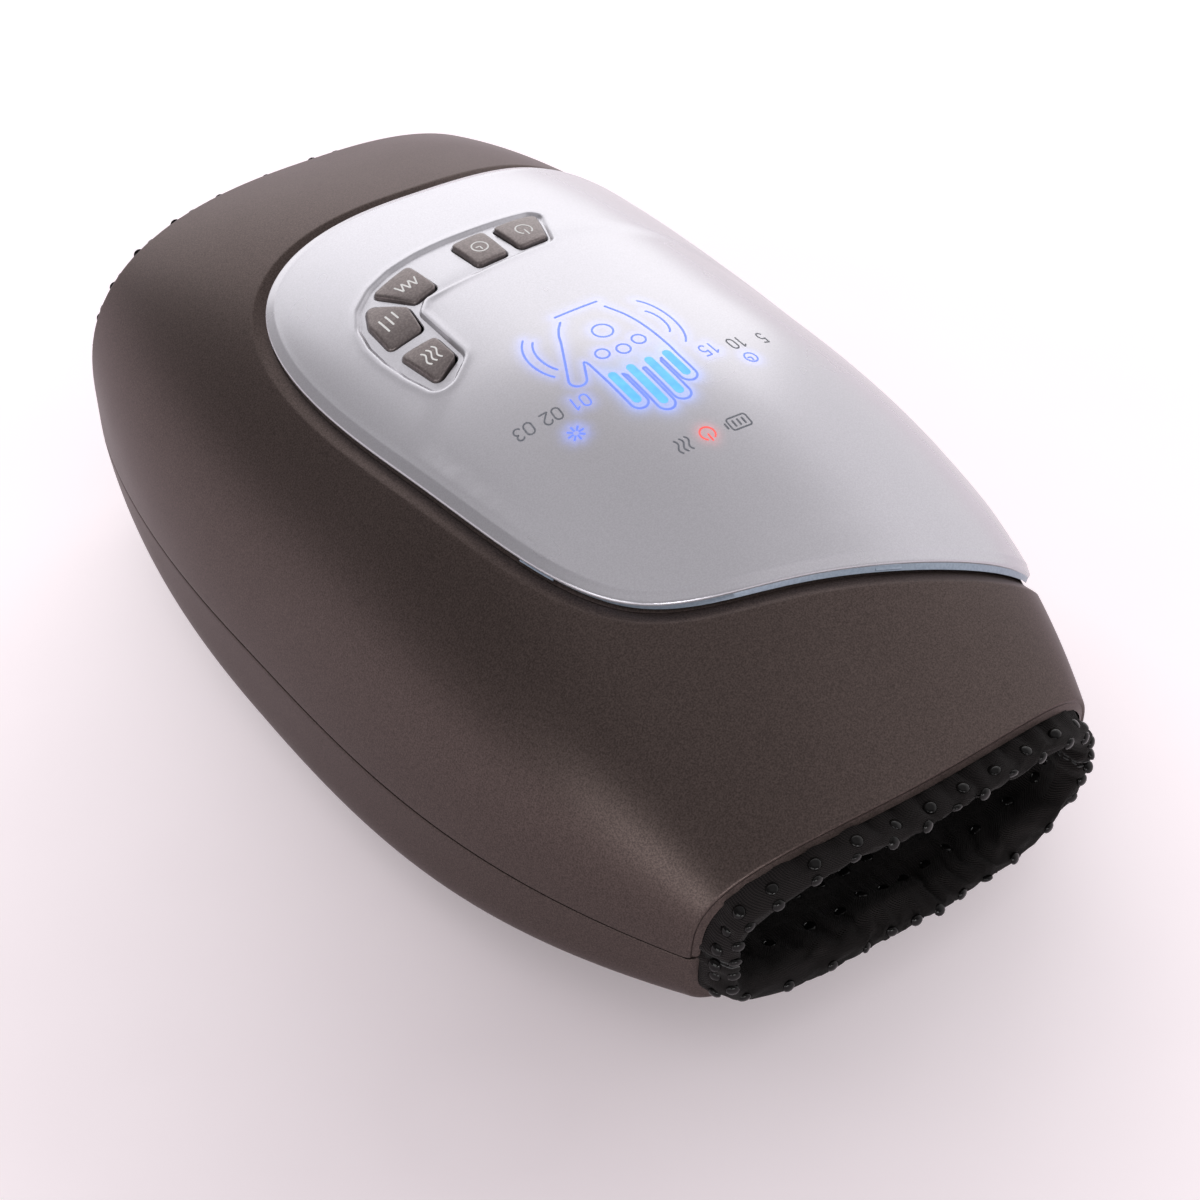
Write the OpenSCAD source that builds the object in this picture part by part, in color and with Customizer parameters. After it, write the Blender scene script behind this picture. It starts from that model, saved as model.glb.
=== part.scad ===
// Hand massager: a hand slides in at the entry end (-Y) and the fingertips show at the
// finger end (+Y). The housing stands on its feet at z = 0 with its long axis along Y.

/* [Housing] */
// Length of the housing from lip to lip
body_l = 265; // [255:1:285]
// Greatest width of the housing
body_w = 176; // [168:1:190]
// Height of the crown above the table
body_h = 114.5; // [112:0.5:122]
// How far the widest place lies behind the middle
widest_back = 25; // [10:1:35]
// Wall of both housing shells
wall = 2.5; // [2:0.1:2.8]
// Height that the feet hold the housing above the table
foot_stand = 2; // [1.5:0.1:3]
// Width of the finger mouth over the lip
finger_w = 120; // [114:1:128]
// Height of the upper lip at the finger mouth
finger_top = 63; // [60:0.5:68]
// Height of the lower lip at the finger mouth
finger_bottom = 15; // [12:0.5:17]
// Width of the entry mouth over the lip
entry_w = 147; // [142:1:154]
// Height of the upper lip at the entry mouth
entry_top = 95; // [90:0.5:98]
// Height of the lower lip at the entry mouth
entry_bottom = 10; // [8:0.5:12]
// Height of the parting line at the middle
seam_mid = 33.5; // [32:0.5:36]
// Gap between the two shells along the parting line
seam_gap = 0.4; // [0.3:0.05:0.8]

/* [Cover panel] */
// Thickness of the cover panel
panel_t = 2.4; // [2:0.1:3]
// How far the panel stands proud of the housing
panel_proud = 1.2; // [0.8:0.1:1.6]
// Gap between the panel's edge and the housing
panel_gap = 0.8; // [0.6:0.1:1.2]
// Width of the ledge that the panel lies on
ledge_w = 4.5; // [3.5:0.1:5]
// Depth of the chamfer on the housing around the panel
rim_chamfer = 1.4; // [1:0.1:1.8]
// Depth of the recess that holds the keys
recess_depth = 0.8; // [0.5:0.1:1]

/* [Keys] */
// Clearance between each key and its opening
key_gap = 0.35; // [0.3:0.05:0.6]
// How far the keys stand above the floor of their recess
key_proud = 1.3; // [1:0.1:1.6]
// Travel of the keys
key_travel = 0.8; // [0.5:0.1:1]
// Rounding of the key corners
key_round = 1.4; // [1:0.1:1.8]
// Height of the switches under the keys
switch_h = 3.5; // [3:0.1:4]
// Length of the key stems
key_stem_l = 3; // [2:0.1:3.5]

/* [Hand tunnel] */
// Room between the housing's side and the lining's inner face at the middle
side_room = 31; // [30:0.5:35]
// Height of the room for the upper air bag, from the lining's ceiling to the deck
bag_room = 12; // [11:0.1:15]
// Height of the lining's floor at the middle
bore_floor = 13; // [12:0.5:15]
// Thickness of the lining fabric
skin = 1.8; // [1.2:0.1:2]
// Depth of the padded roll, from the housing's lip inwards
lip_depth = 8.5; // [8:0.1:10]
// How far the padded roll stands out past the lip
lip_out = 5; // [3:0.5:7]
// Width of the collars that hold the lining
collar_w = 6; // [4:0.5:8]
// Diameter of the silicone dots
dot_d = 3.6; // [2.6:0.1:4.5]
// Height of the silicone dots
dot_h = 1.1; // [0.8:0.1:1.4]
// Thickness of the heating sheet
heater_t = 0.8; // [0.6:0.1:1.2]

/* [Inside] */
// Thickness of the deck
deck_t = 2.4; // [2:0.1:3]
// How far the deck's edge lies inside the widest place of the housing
deck_inset = 19.5; // [18.5:0.1:20.5]
// Thickness of the circuit boards
board_t = 1.6; // [1.2:0.1:1.8]
// Diameter of the battery cells
cell_d = 18.4; // [17:0.1:18.6]
// Length of the battery cells
cell_l = 65; // [60:1:66]
// Diameter of the pump motor
motor_d = 24.4; // [22:0.1:25]
// Length of the pump motor
motor_l = 31; // [28:1:32]
// Side of the square pump head
head_w = 27; // [26:0.5:28]
// Length of the pump head
head_l = 24; // [22:0.5:25]
// Diameter of the pump shaft
shaft_d = 2; // [2:0.1:3]
// Diameter of the valve plungers
plunger_d = 4; // [3:0.1:5]
// Travel of the valve plungers
plunger_travel = 1.2; // [0.8:0.1:1.5]
// Diameter of the air hoses
hose_d = 5; // [4:0.1:5.5]
// Diameter of the case screws
screw_d = 3; // [2.6:0.1:3.2]
// Diameter of the board screws
small_screw_d = 2; // [1.8:0.1:2.2]

/* [Hidden] */
$fn = 48;

half_l = body_l / 2;
clear = 0.3;
waist_mid = 27;
waist_finger = 37;
waist_entry = 43.5;
seam_finger = 35;
seam_entry = 28.5;
round_mid = 2.2;
round_finger = 3;
round_entry = 2.55;
belly_round = 5.8;
lean_finger = 0.08;
lean_entry = 0.03;
bow_finger = 6.2;
bow_entry = -2.7;

// Shape of the housing
// v runs from -1 at the entry lip to 1 at the finger lip, and t is the angle in degrees
// round the section, from 0 at the +X side over 90 at the crown to 180 at the -X side.
function swell(v, v0, mid, finger, entry, pf, pe) = v > v0
    ? mid + (finger - mid) * pow((v - v0) / (1 - v0), pf)
    : mid + (entry - mid) * pow((v0 - v) / (1 + v0), pe);
function half_w(v) = swell(v, -widest_back / half_l, body_w / 2, finger_w / 2, entry_w / 2, 2.86, 2.29);
function crown(v) = swell(v, 0, body_h, finger_top, entry_top, 2.2, 2.7);
function keel(v) = swell(v, 0, foot_stand, finger_bottom, entry_bottom, 2, 2);
function waist(v) = swell(v, 0, waist_mid, waist_finger, waist_entry, 2, 2);
function seam(v) = swell(v, 0, seam_mid, seam_finger, seam_entry, 2, 2);
function roundness(v) = swell(v, 0, round_mid, round_finger, round_entry, 2, 2);
// An angle as seen after a section is flattened by a ratio, kept in the same turn
function squeeze(q, ratio) = q + (atan2(ratio * sin(q), cos(q)) - q + 1620) % 360 - 180;
function spoke(c, s, a, b, e) = pow(pow(abs(c) / a, e) + pow(abs(s) / b, e), -1 / e);
function section(hw, up, down, mid, e_up, e_down, t) =
    let (c = cos(t), s = sin(t), r = s >= 0 ? spoke(c, s, hw, up, e_up) : spoke(c, s, hw, down, e_down))
    [r * c, mid + r * s];
function station(v, x, z) = v > 0
    ? v * half_l + v * v * (lean_finger * (z - waist_finger) - bow_finger * pow(2 * x / finger_w, 2))
    : v * half_l - v * v * (lean_entry * (z - waist_finger) - bow_entry * pow(2 * x / entry_w, 2));
function skin_point(v, t, d = 0) =
    let (p = section(half_w(v) - d, crown(v) - waist(v) - d, waist(v) - keel(v) - d, waist(v),
        roundness(v), belly_round, t))
    [p[0], station(v, p[0], p[1]), p[1]];
function cross_of(v, t) = skin_point(v, t + 0.5) - skin_point(v, t - 0.5);
function along_of(v, t) = skin_point(v + 0.004, t) - skin_point(v - 0.004, t);
function unit(a) = a / norm(a);
function skin_normal(v, t) = unit(cross(along_of(v, t), cross_of(v, t)));

// Height of the housing's upper surface, and of its floor, over a place in plan
function roof(x, y, d = 0) =
    let (v = y / half_l, n = roundness(v))
    waist(v) + (crown(v) - waist(v) - d) * pow(1 - pow(abs(x) / (half_w(v) - d), n), 1 / n);
function belly(x, y, d = 0) =
    let (v = y / half_l)
    waist(v) - (waist(v) - keel(v) - d)
        * pow(1 - pow(abs(x) / (half_w(v) - d), belly_round), 1 / belly_round);

// Angle round the section at which a height lies above the waist
function angle_at(v, z) =
    let (h = z - waist(v),
        e = h > 0 ? roundness(v) : belly_round,
        reach = h > 0 ? crown(v) - waist(v) : waist(v) - keel(v))
    atan2(h, half_w(v) * pow(1 - pow(abs(h) / reach, e), 1 / e));

// Half width of the housing at a height above its waist
function width_at(v, z) =
    half_w(v) * pow(1 - pow((z - waist(v)) / (crown(v) - waist(v)), roundness(v)), 1 / roundness(v));

// Heights inside: the display hangs under the panel, the cells lie under the display, the
// deck carries the cells, and the hand tunnel leaves room for the air bag under the deck
panel_low = panel_t - panel_proud;
display_y0 = -1;
display_l = 58;
display_w = 86;
guide_w = 76;
guide_t = 5;
// The light guide's top face runs just under the panel at both of its ends
guide_rise = roof(guide_w / 2, display_y0, panel_low) - roof(guide_w / 2, display_y0 + display_l, panel_low);
guide_tilt = atan2(guide_rise, display_l);
guide_z = roof(guide_w / 2, display_y0, panel_low) - clear - guide_t;
display_low = guide_z - display_l * sin(guide_tilt) - board_t * cos(guide_tilt);
holder_wall = 1.4;
cell_room = 0.664;
deck_z = display_low - cell_room - cell_d - holder_wall - deck_t;
deck_top = deck_z + deck_t;
deck_w = body_w - 2 * deck_inset;
bore_top = deck_z - bag_room;
bore_w = body_w - 2 * side_room;

// Shape of the hand tunnel, e counts outwards from the lining's inner face
function bore_half_w(v) = swell(v, 0, bore_w / 2, finger_w / 2 - lip_depth, entry_w / 2 - lip_depth, 3, 3);
function bore_ceiling(v) = swell(v, 0, bore_top, finger_top - lip_depth, entry_top - lip_depth, 3, 3);
function bore_bed(v) = swell(v, 0, bore_floor, finger_bottom + lip_depth, entry_bottom + lip_depth, 3, 3);
function bore_mid(v) = swell(v, 0, (bore_top + bore_floor) / 2, waist_finger, waist_entry, 3, 3);
function bore_point(v, t, e = 0, out = 0) =
    let (p = section(bore_half_w(v) + e, bore_ceiling(v) - bore_mid(v) + e,
        bore_mid(v) - bore_bed(v) + e, bore_mid(v), swell(v, 0, 3, round_finger, round_entry, 3, 3),
        swell(v, 0, 3, belly_round, belly_round, 3, 3), t))
    [p[0], station(v, p[0], p[1]) + out, p[1]];

// Solids from rings and grids of points, in triangles
function quad(a, b, c, d) = [[a, b, c], [a, c, d]];
// A closed band: rings of n points joined in a circle, the last to the first
module ring_solid(rings) {
    n = len(rings[0]);
    m = len(rings);
    faces = [for (i = [0:m - 1]) for (j = [0:n - 1])
        let (i2 = (i + 1) % m, j2 = (j + 1) % n)
        each quad(i * n + j, i2 * n + j, i2 * n + j2, i * n + j2)];
    polyhedron([for (r = rings) each r], faces, convexity = 8);
}
// A closed bag: rings of n points with a point at each end
module capped_solid(first, rings, last) {
    n = len(rings[0]);
    m = len(rings);
    side = [for (i = [0:m - 2]) for (j = [0:n - 1])
        let (j2 = (j + 1) % n)
        each quad(i * n + j, i * n + j2, (i + 1) * n + j2, (i + 1) * n + j)];
    head = [for (j = [0:n - 1]) [m * n, (j + 1) % n, j]];
    tail = [for (j = [0:n - 1]) [m * n + 1, (m - 1) * n + j, (m - 1) * n + (j + 1) % n]];
    polyhedron(concat([for (r = rings) each r], [first, last]), concat(side, head, tail), convexity = 8);
}
// A sheet with thickness between two grids of the same size
module slab(outer, inner) {
    m = len(outer);
    n = len(outer[0]);
    loops = [for (i = [0:m - 1]) concat(outer[i], [for (j = [n - 1:-1:0]) inner[i][j]])];
    k = 2 * n;
    side = [for (i = [0:m - 2]) for (j = [0:k - 1])
        let (j2 = (j + 1) % k)
        each quad(i * k + j, i * k + j2, (i + 1) * k + j2, (i + 1) * k + j)];
    ends = [for (i = [0, m - 1]) for (j = [0:n - 2])
        let (a = i * k + j, b = a + 1, c = i * k + k - 2 - j, d = c + 1)
        each (i == 0 ? quad(a, d, c, b) : quad(a, b, c, d))];
    polyhedron([for (l = loops) each l], concat(side, ends), convexity = 8);
}

// Outline of the cover panel: a closed smooth curve drawn by ten poles, each a place along
// the housing as a share of its half length and an angle round the section in degrees
panel_poles = [[-0.668, 133], [-0.551, 99.5], [-0.657, 42.5], [0.174, 52.5], [0.634, 51],
    [0.649, 85], [0.8, 146], [0.74, 165], [0.302, 162], [-0.302, 157]];
pole_steps = 6;
function curve(a, b, c, d, u) = (pow(1 - u, 3) * a + (3 * u * u * u - 6 * u * u + 4) * b
    + (-3 * u * u * u + 3 * u * u + 3 * u + 1) * c + u * u * u * d) / 6;
function smooth_loop(poles, steps) =
    let (n = len(poles))
    [for (i = [0:n - 1]) for (k = [0:steps - 1])
        curve(poles[i], poles[(i + 1) % n], poles[(i + 2) % n], poles[(i + 3) % n], k / steps)];
function smooth_line(poles, steps) =
    let (ends = concat([2 * poles[0] - poles[1]], poles, [2 * poles[len(poles) - 1] - poles[len(poles) - 2]]))
    concat([for (i = [0:len(poles) - 2]) for (k = [0:steps - 1])
        curve(ends[i], ends[i + 1], ends[i + 2], ends[i + 3], k / steps)], [poles[len(poles) - 1]]);
outline = smooth_loop(panel_poles, pole_steps);
outline_n = len(outline);
// Frame at each outline point: place, outward direction in the surface, surface normal
function outline_frame(i) =
    let (q = outline[i],
        before = outline[(i + outline_n - 1) % outline_n],
        after = outline[(i + 1) % outline_n],
        along = unit(skin_point(after[0], after[1]) - skin_point(before[0], before[1])),
        normal = skin_normal(q[0], q[1]))
    [skin_point(q[0], q[1]), unit(cross(normal, along)), normal];
frames = [for (i = [0:outline_n - 1]) outline_frame(i)];
frame_sign = (frames[0][1] * (frames[0][0] - skin_point(0, 100))) > 0 ? 1 : -1;
function rim_ring(out, up) = [for (f = frames) f[0] + frame_sign * out * f[1] + up * f[2]];
// The same outline moved out in the surface, given as places on the housing
function moved(i, out) =
    let (q = outline[i],
        w = frame_sign * out * frames[i][1],
        a = along_of(q[0], q[1]) / 0.008,
        c = cross_of(q[0], q[1]),
        aa = a * a, ac = a * c, cc = c * c, wa = w * a, wc = w * c,
        det = aa * cc - ac * ac)
    [q[0] + (wa * cc - wc * ac) / det, q[1] + (wc * aa - wa * ac) / det];

// Upper shell
seam_turn = seam_gap / 2 / (body_w / 2) * 180 / PI;
function top_angle(v) = angle_at(v, seam(v)) + seam_turn;
// Border of the upper shell met by the ray from the middle of the panel
panel_heart = [0.1, 105];
function flat_place(q) = [q[0], (q[1] - 90) / (90 - top_angle(q[0]))];
function border_point(i) =
    let (h = flat_place(outline[i]) - flat_place(panel_heart),
        heart = flat_place(panel_heart),
        kx = h[0] > 0 ? (1 - heart[0]) / h[0] : (-1 - heart[0]) / h[0],
        ky = h[1] > 0 ? (1 - heart[1]) / h[1] : (-1 - heart[1]) / h[1],
        k = min(abs(kx), abs(ky)))
    heart + k * h;
raw_border = [for (i = [0:outline_n - 1]) border_point(i)];
function nearest(corner) =
    let (gaps = [for (b = raw_border) norm(b - corner)])
    [for (i = [0:outline_n - 1]) if (gaps[i] == min(gaps)) i][0];
corners = [[1, 1], [1, -1], [-1, 1], [-1, -1]];
corner_at = [for (c = corners) nearest(c)];
border = [for (i = [0:outline_n - 1])
    let (hit = [for (k = [0:3]) if (corner_at[k] == i) corners[k]])
    len(hit) > 0 ? hit[0] : raw_border[i]];
function housing_place(b) = [b[0], 90 + b[1] * (90 - top_angle(b[0]))];
rim_out = panel_gap + 2 * rim_chamfer;
shell_rings = 9;
function shell_ring(k, d) = [for (i = [0:outline_n - 1])
    let (a = flat_place(moved(i, rim_out)), q = housing_place(a + (border[i] - a) * k))
    skin_point(q[0], q[1], d)];
ledge_top = panel_t - panel_proud + clear;
ledge_bottom = ledge_top + wall;
ledge_dip = 0.3;
spread = [for (k = [0:shell_rings]) pow(k / shell_rings, 1.3)];
module top_skin() {
    outside = [for (k = [shell_rings:-1:0]) shell_ring(spread[k], 0)];
    inside = [for (k = [1:shell_rings]) shell_ring(spread[k], wall)];
    rim = [rim_ring(panel_gap, -rim_chamfer), rim_ring(panel_gap, -ledge_top),
        rim_ring(-ledge_w, -ledge_top - ledge_dip), rim_ring(-ledge_w, -ledge_bottom - ledge_dip),
        rim_ring(rim_out, -ledge_bottom)];
    ring_solid(concat(outside, rim, inside));
}
boss_x = body_w / 2 - 12;
boss_ys = [-45, 15];
boss_r = 4.4;
boss_top = 50;
pilot_r = screw_d / 2 + 0.05;
pilot_l = 12;
// The case bosses stand against the side walls, each tied to the wall by a rib
module wall_boss(x, y, low, high) {
    translate([x, y, low]) cylinder(r = boss_r, h = high - low);
    reach = width_at(y / half_l, high) - wall * 0.6 - abs(x);
    translate([x > 0 ? x : x - reach, y - 1, low]) cube([reach, 2, high - low]);
}
// The case bosses of the two sides are staggered, clear of the charging port
function boss_y(sx, k) = boss_ys[k] + (sx < 0 ? 22 : 0);
port_y = 2;
port_z = 48;
port_w = 9.4;
port_h = 3.6;
// A slot with round ends across the side wall
module port_slot(l, more = 0) {
    rotate([90, 0, 90]) linear_extrude(l, center = true)
        polygon(rounded([[-port_w / 2 - more, -port_h / 2 - more], [port_w / 2 + more, -port_h / 2 - more],
            [port_w / 2 + more, port_h / 2 + more], [-port_w / 2 - more, port_h / 2 + more]],
            port_h / 2 + more - 0.02));
}
module top_shell() {
    color("#5b5655") difference() {
        union() {
            top_skin();
            for (sx = [-1, 1]) for (k = [0, 1])
                wall_boss(sx * boss_x, boss_y(sx, k), seam_mid + seam_gap, boss_top);
        }
        for (sx = [-1, 1]) for (k = [0, 1])
            translate([sx * boss_x, boss_y(sx, k), seam_mid - 1]) cylinder(r = pilot_r, h = pilot_l + 1);
        translate([-body_w / 2, port_y, port_z]) port_slot(wall * 4);
    }
}

// Lower shell
function low_angle(v) = 360 + angle_at(v, seam(v)) - seam_turn;
function low_start(v) = 180 - angle_at(v, seam(v)) + seam_turn;
shell_steps = 14;
belly_steps = 24;
function belly_ratio(v) = (waist(v) - keel(v)) / half_w(v);
function belly_grid(d) = [for (i = [-shell_steps:shell_steps])
    let (v = i / shell_steps,
        first = squeeze(low_start(v), 1 / belly_ratio(v)),
        last = squeeze(low_angle(v), 1 / belly_ratio(v)))
    [for (j = [0:belly_steps])
        skin_point(v, squeeze(first + (last - first) * j / belly_steps, belly_ratio(v)), d)]];
foot_d = 13;
foot_x = 48;
foot_ys = [-72, 66];
foot_seat = 1.2;
function foot_top(y) = belly(foot_x, y) + foot_seat;
leg_r = 4;
leg_x = deck_w / 2 - leg_r;
leg_ys = [-45, 45];
leg_foot = 12;
screw_head_r = screw_d;
screw_head_h = screw_d * 0.6;
boss_inside = 0.6;
case_head_z = 12;
leg_head_z = 9;
// A boss that starts inside the floor's thickness, where its outer side meets the wall
module low_boss(x, y, r, high) {
    low = belly(abs(x) + r, y) + boss_inside;
    translate([x, y, low]) cylinder(r = r, h = high - low);
}
module bottom_shell() {
    color("#575352") difference() {
        union() {
            slab(belly_grid(0), belly_grid(wall));
            for (sx = [-1, 1]) for (k = [0, 1]) {
                low_boss(sx * boss_x, boss_y(sx, k), boss_r, seam_mid - seam_gap);
                low_boss(sx * leg_x, leg_ys[k], leg_r, leg_foot);
            }
        }
        for (sx = [-1, 1]) for (k = [0, 1]) {
            translate([sx * boss_x, boss_y(sx, k), -1]) cylinder(r = screw_head_r + clear, h = case_head_z + 1);
            translate([sx * boss_x, boss_y(sx, k), 0]) cylinder(r = screw_d / 2 + 0.2, h = seam_mid);
            translate([sx * leg_x, leg_ys[k], -1]) cylinder(r = screw_head_r + clear, h = leg_head_z + 1);
            translate([sx * leg_x, leg_ys[k], 0]) cylinder(r = screw_d / 2 + 0.2, h = leg_foot + 1);
            translate([sx * foot_x, foot_ys[k], -1]) cylinder(d = foot_d + 0.4, h = foot_top(foot_ys[k]) + 1);
        }
    }
}
module rubber_feet() {
    color("#2c2c2e") for (sx = [-1, 1]) for (y = foot_ys)
        translate([sx * foot_x, y, 0]) cylinder(d = foot_d, h = foot_top(y));
}
module screw(d, shank) {
    rotate([180, 0, 0]) cylinder(d = 2 * d, h = 0.6 * d);
    cylinder(d = d, h = shank);
}
module case_screws() {
    color("#8c8f94") for (sx = [-1, 1]) for (k = [0, 1])
        translate([sx * boss_x, boss_y(sx, k), case_head_z]) screw(screw_d, seam_mid + pilot_l - 2 - case_head_z);
}

// Cover panel: its rim is a smooth ring, its middle closes on a point
panel_rings = 9;
function panel_ring(k, d) = [for (i = [0:outline_n - 1])
    let (a = moved(i, -1.5), q = panel_heart + (a - panel_heart) * k)
    skin_point(q[0], q[1], d)];
module panel_body() {
    top_rings = [for (k = [1:panel_rings]) panel_ring(k / panel_rings, -panel_proud)];
    low_rings = [for (k = [panel_rings:-1:1]) panel_ring(k / panel_rings, panel_low)];
    rim = [rim_ring(-0.5, panel_proud * 0.75), rim_ring(0, panel_proud * 0.25), rim_ring(0, -panel_low)];
    capped_solid(skin_point(panel_heart[0], panel_heart[1], -panel_proud), concat(top_rings, rim, low_rings),
        skin_point(panel_heart[0], panel_heart[1], panel_low));
}

// Keys: outlines in plan, X then Y, round an L-shaped recess
power_outline = [[-18.9, -46.5], [-4.8, -45.6], [-5.4, -33.5], [-14.4, -34.5]];
timer_outline = [[-1.8, -45.6], [8.5, -44.9], [8, -32.7], [-1.6, -33.3]];
mode_outline = [[21.2, -45], [33.9, -42.6], [28, -31.1], [20.5, -32.5]];
intensity_outline = [[36.8, -40.7], [40.3, -33.5], [41, -22.4], [31.8, -21.5], [30.2, -30.9]];
heat_outline = [[40.8, -18.6], [39.4, -3.3], [31.7, -6.9], [31.5, -16.6]];
recess_outline = [[-21.5, -48.2], [9, -47.4], [24, -47.2], [35, -44.8], [40, -38], [43, -28], [43, -12],
    [41.3, -0.6], [37, -0.6], [29.8, -5.6], [29.3, -27], [25.6, -30.6], [10, -30.6], [-15, -32.4]];
key_outlines = [power_outline, timer_outline, mode_outline, intensity_outline, heat_outline];
function centre_of(pts) = [for (a = [0, 1]) [for (p = pts) p[a]] * [for (p = pts) 1] / len(pts)];
function turn_of(a, b) = atan2(b[1] - a[1], b[0] - a[0]);
// A corner of an outline, rounded by an arc of radius r
function corner_arc(a, b, c, r) =
    let (u = unit(a - b), w = unit(c - b),
        half = acos(u * w) / 2,
        hub = b + unit(u + w) * r / sin(half),
        first = turn_of(hub, b + u * r / tan(half)),
        last = turn_of(hub, b + w * r / tan(half)),
        swing = (last - first + 540) % 360 - 180)
    [for (k = [0:4]) hub + r * [cos(first + swing * k / 4), sin(first + swing * k / 4)]];
function rounded(pts, r) =
    let (n = len(pts))
    [for (i = [0:n - 1]) each corner_arc(pts[(i + n - 1) % n], pts[i], pts[(i + 1) % n], r)];
// An outline moved out by g, its corners kept
function area_of(pts) = let (n = len(pts)) [for (i = [0:n - 1])
    let (a = pts[i], b = pts[(i + 1) % n]) a[0] * b[1] - a[1] * b[0]] * [for (p = pts) 0.5];
function out_normal(a, b, turn) = unit([b[1] - a[1], a[0] - b[0]]) * turn;
function grown(pts, g) =
    let (n = len(pts), turn = area_of(pts) > 0 ? 1 : -1)
    [for (i = [0:n - 1])
        let (a = pts[(i + n - 1) % n], b = pts[i], c = pts[(i + 1) % n],
            m = out_normal(a, b, turn), k = out_normal(b, c, turn))
        b + (m + k) * g / (1 + m * k)];
// The recess floor is a large cylinder along the housing, fitted to the crown
recess_x = 40;
recess_y0 = -47;
recess_y1 = -2;
recess_drop = roof(0, -24, -panel_proud) - roof(recess_x, -24, -panel_proud);
recess_r = recess_x * recess_x / (2 * recess_drop) + recess_drop / 2;
recess_tilt = atan2(roof(0, recess_y1) - roof(0, recess_y0), recess_y1 - recess_y0);
recess_z = roof(0, -24, -panel_proud) - recess_depth;
module recess_floor(r_more = 0) {
    translate([0, -24, recess_z - recess_r]) rotate([recess_tilt - 90, 0, 0])
        cylinder(r = recess_r + r_more, h = 80, center = true, $fn = 96);
}
module recess_tool() {
    difference() {
        translate([0, 0, recess_z - 12]) linear_extrude(20) polygon(rounded(recess_outline, 1));
        recess_floor();
    }
}
function key_hole(pts) = rounded(grown(pts, key_gap), key_round + key_gap);
module cover_panel() {
    color("#c9c6cf") difference() {
        panel_body();
        recess_tool();
        for (pts = key_outlines)
            translate([0, 0, recess_z - 14]) linear_extrude(24) polygon(key_hole(pts));
    }
}
key_dome_r = 55;
flange = 0.8;
flange_t = 1.2;
// Underside of the panel over a key, less the clearance
function flange_top(pts) = min([for (p = grown(pts, flange)) roof(p[0], p[1], panel_low)]) - clear - 0.1;
function stem_end(pts) = flange_top(pts) - flange_t - key_stem_l;
switch_top = min([for (pts = key_outlines) stem_end(pts)]) - key_travel - clear;
module key(pts) {
    c = centre_of(pts);
    top = roof(c[0], c[1], -panel_proud) - recess_depth + key_proud;
    tilt = atan2(roof(c[0] - 3, c[1]) - roof(c[0] + 3, c[1]), 6);
    low = flange_top(pts) - flange_t;
    stem_low = switch_top + key_travel + clear;
    union() {
        intersection() {
            translate([0, 0, low + flange_t / 2]) linear_extrude(14) polygon(rounded(pts, key_round));
            translate([c[0] - key_dome_r * sin(tilt), c[1], top - key_dome_r * cos(tilt)])
                sphere(r = key_dome_r, $fn = 96);
        }
        translate([0, 0, low]) linear_extrude(flange_t) polygon(rounded(grown(pts, flange), key_round));
        translate([c[0], c[1], stem_low]) cylinder(d = 4, h = low + flange_t / 2 - stem_low);
    }
}
key_colour = "#4b494a";
module power_key() { color(key_colour) key(power_outline); }
module timer_key() { color(key_colour) key(timer_outline); }
module mode_key() { color(key_colour) key(mode_outline); }
module intensity_key() { color(key_colour) key(intensity_outline); }
module heat_key() { color(key_colour) key(heat_outline); }

// Key board and its switches
key_board_z = switch_top - switch_h - board_t;
key_board_x = [-22, 47];
key_board_y = [-51, -1];
post_r = 3;
post_inset = 3.2;
key_post_xs = [key_board_x[0] + post_inset, key_board_x[1] - post_inset];
key_post_ys = [key_board_y[0] + post_inset, key_board_y[1] - post_inset];
small_hole_r = small_screw_d / 2 + 0.1;
module plate(xs, ys, t, r = 2) {
    linear_extrude(t) polygon(rounded([[xs[0], ys[0]], [xs[1], ys[0]], [xs[1], ys[1]], [xs[0], ys[1]]], r));
}
module key_board() {
    color("#1f5c3a") difference() {
        translate([0, 0, key_board_z]) plate(key_board_x, key_board_y, board_t);
        for (x = key_post_xs) for (y = key_post_ys)
            translate([x, y, key_board_z - 1]) cylinder(r = small_hole_r, h = board_t + 2);
    }
}
module key_switches() {
    color("#303236") for (pts = key_outlines) {
        c = centre_of(pts);
        translate([c[0] - 3, c[1] - 3, key_board_z + board_t]) cube([6, 6, switch_h - 1]);
        translate([c[0], c[1], key_board_z + board_t + switch_h - 1]) cylinder(d = 3.4, h = 1);
    }
}

// Deck: the plate over the hand tunnel that carries the pump, battery and boards
deck_y = [-64, 68];
module at_display() {
    translate([0, display_y0, guide_z]) rotate([-guide_tilt, 0, 0]) children();
}
display_post_r = 2.4;
display_post_x = display_w / 2 - 1.5;
display_post_ys = [4.5, 53.5];
leg_screw_l = 16;
pump_x = -36;
pump_z = deck_top + 0.4 + head_w / 2;
pump_y = -30;
valve_x = [-50, -25];
valve_y = [8, 46];
valve_h = 10;
valve_z = deck_top + valve_h;
spigot = [-38, 14];
lower_hose_y = 24;
lower_hose_hole_x = 6 - deck_w / 2;
main_xs = [-13, 37];
main_ys = [-62, -12];
main_stand = 4;
main_z = deck_top + main_stand;
main_post_xs = [main_xs[0] + post_inset, main_xs[1] - post_inset];
main_post_ys = [main_ys[0] + post_inset, main_ys[1] - post_inset];
board_pilot_l = 8;
module board_post(x, y, top, r) {
    difference() {
        translate([x, y, deck_top - 0.5]) cylinder(r = r, h = top - deck_top + 0.5);
        translate([x, y, top - board_pilot_l]) cylinder(r = small_screw_d / 2 + 0.05, h = board_pilot_l + 1);
    }
}
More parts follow.
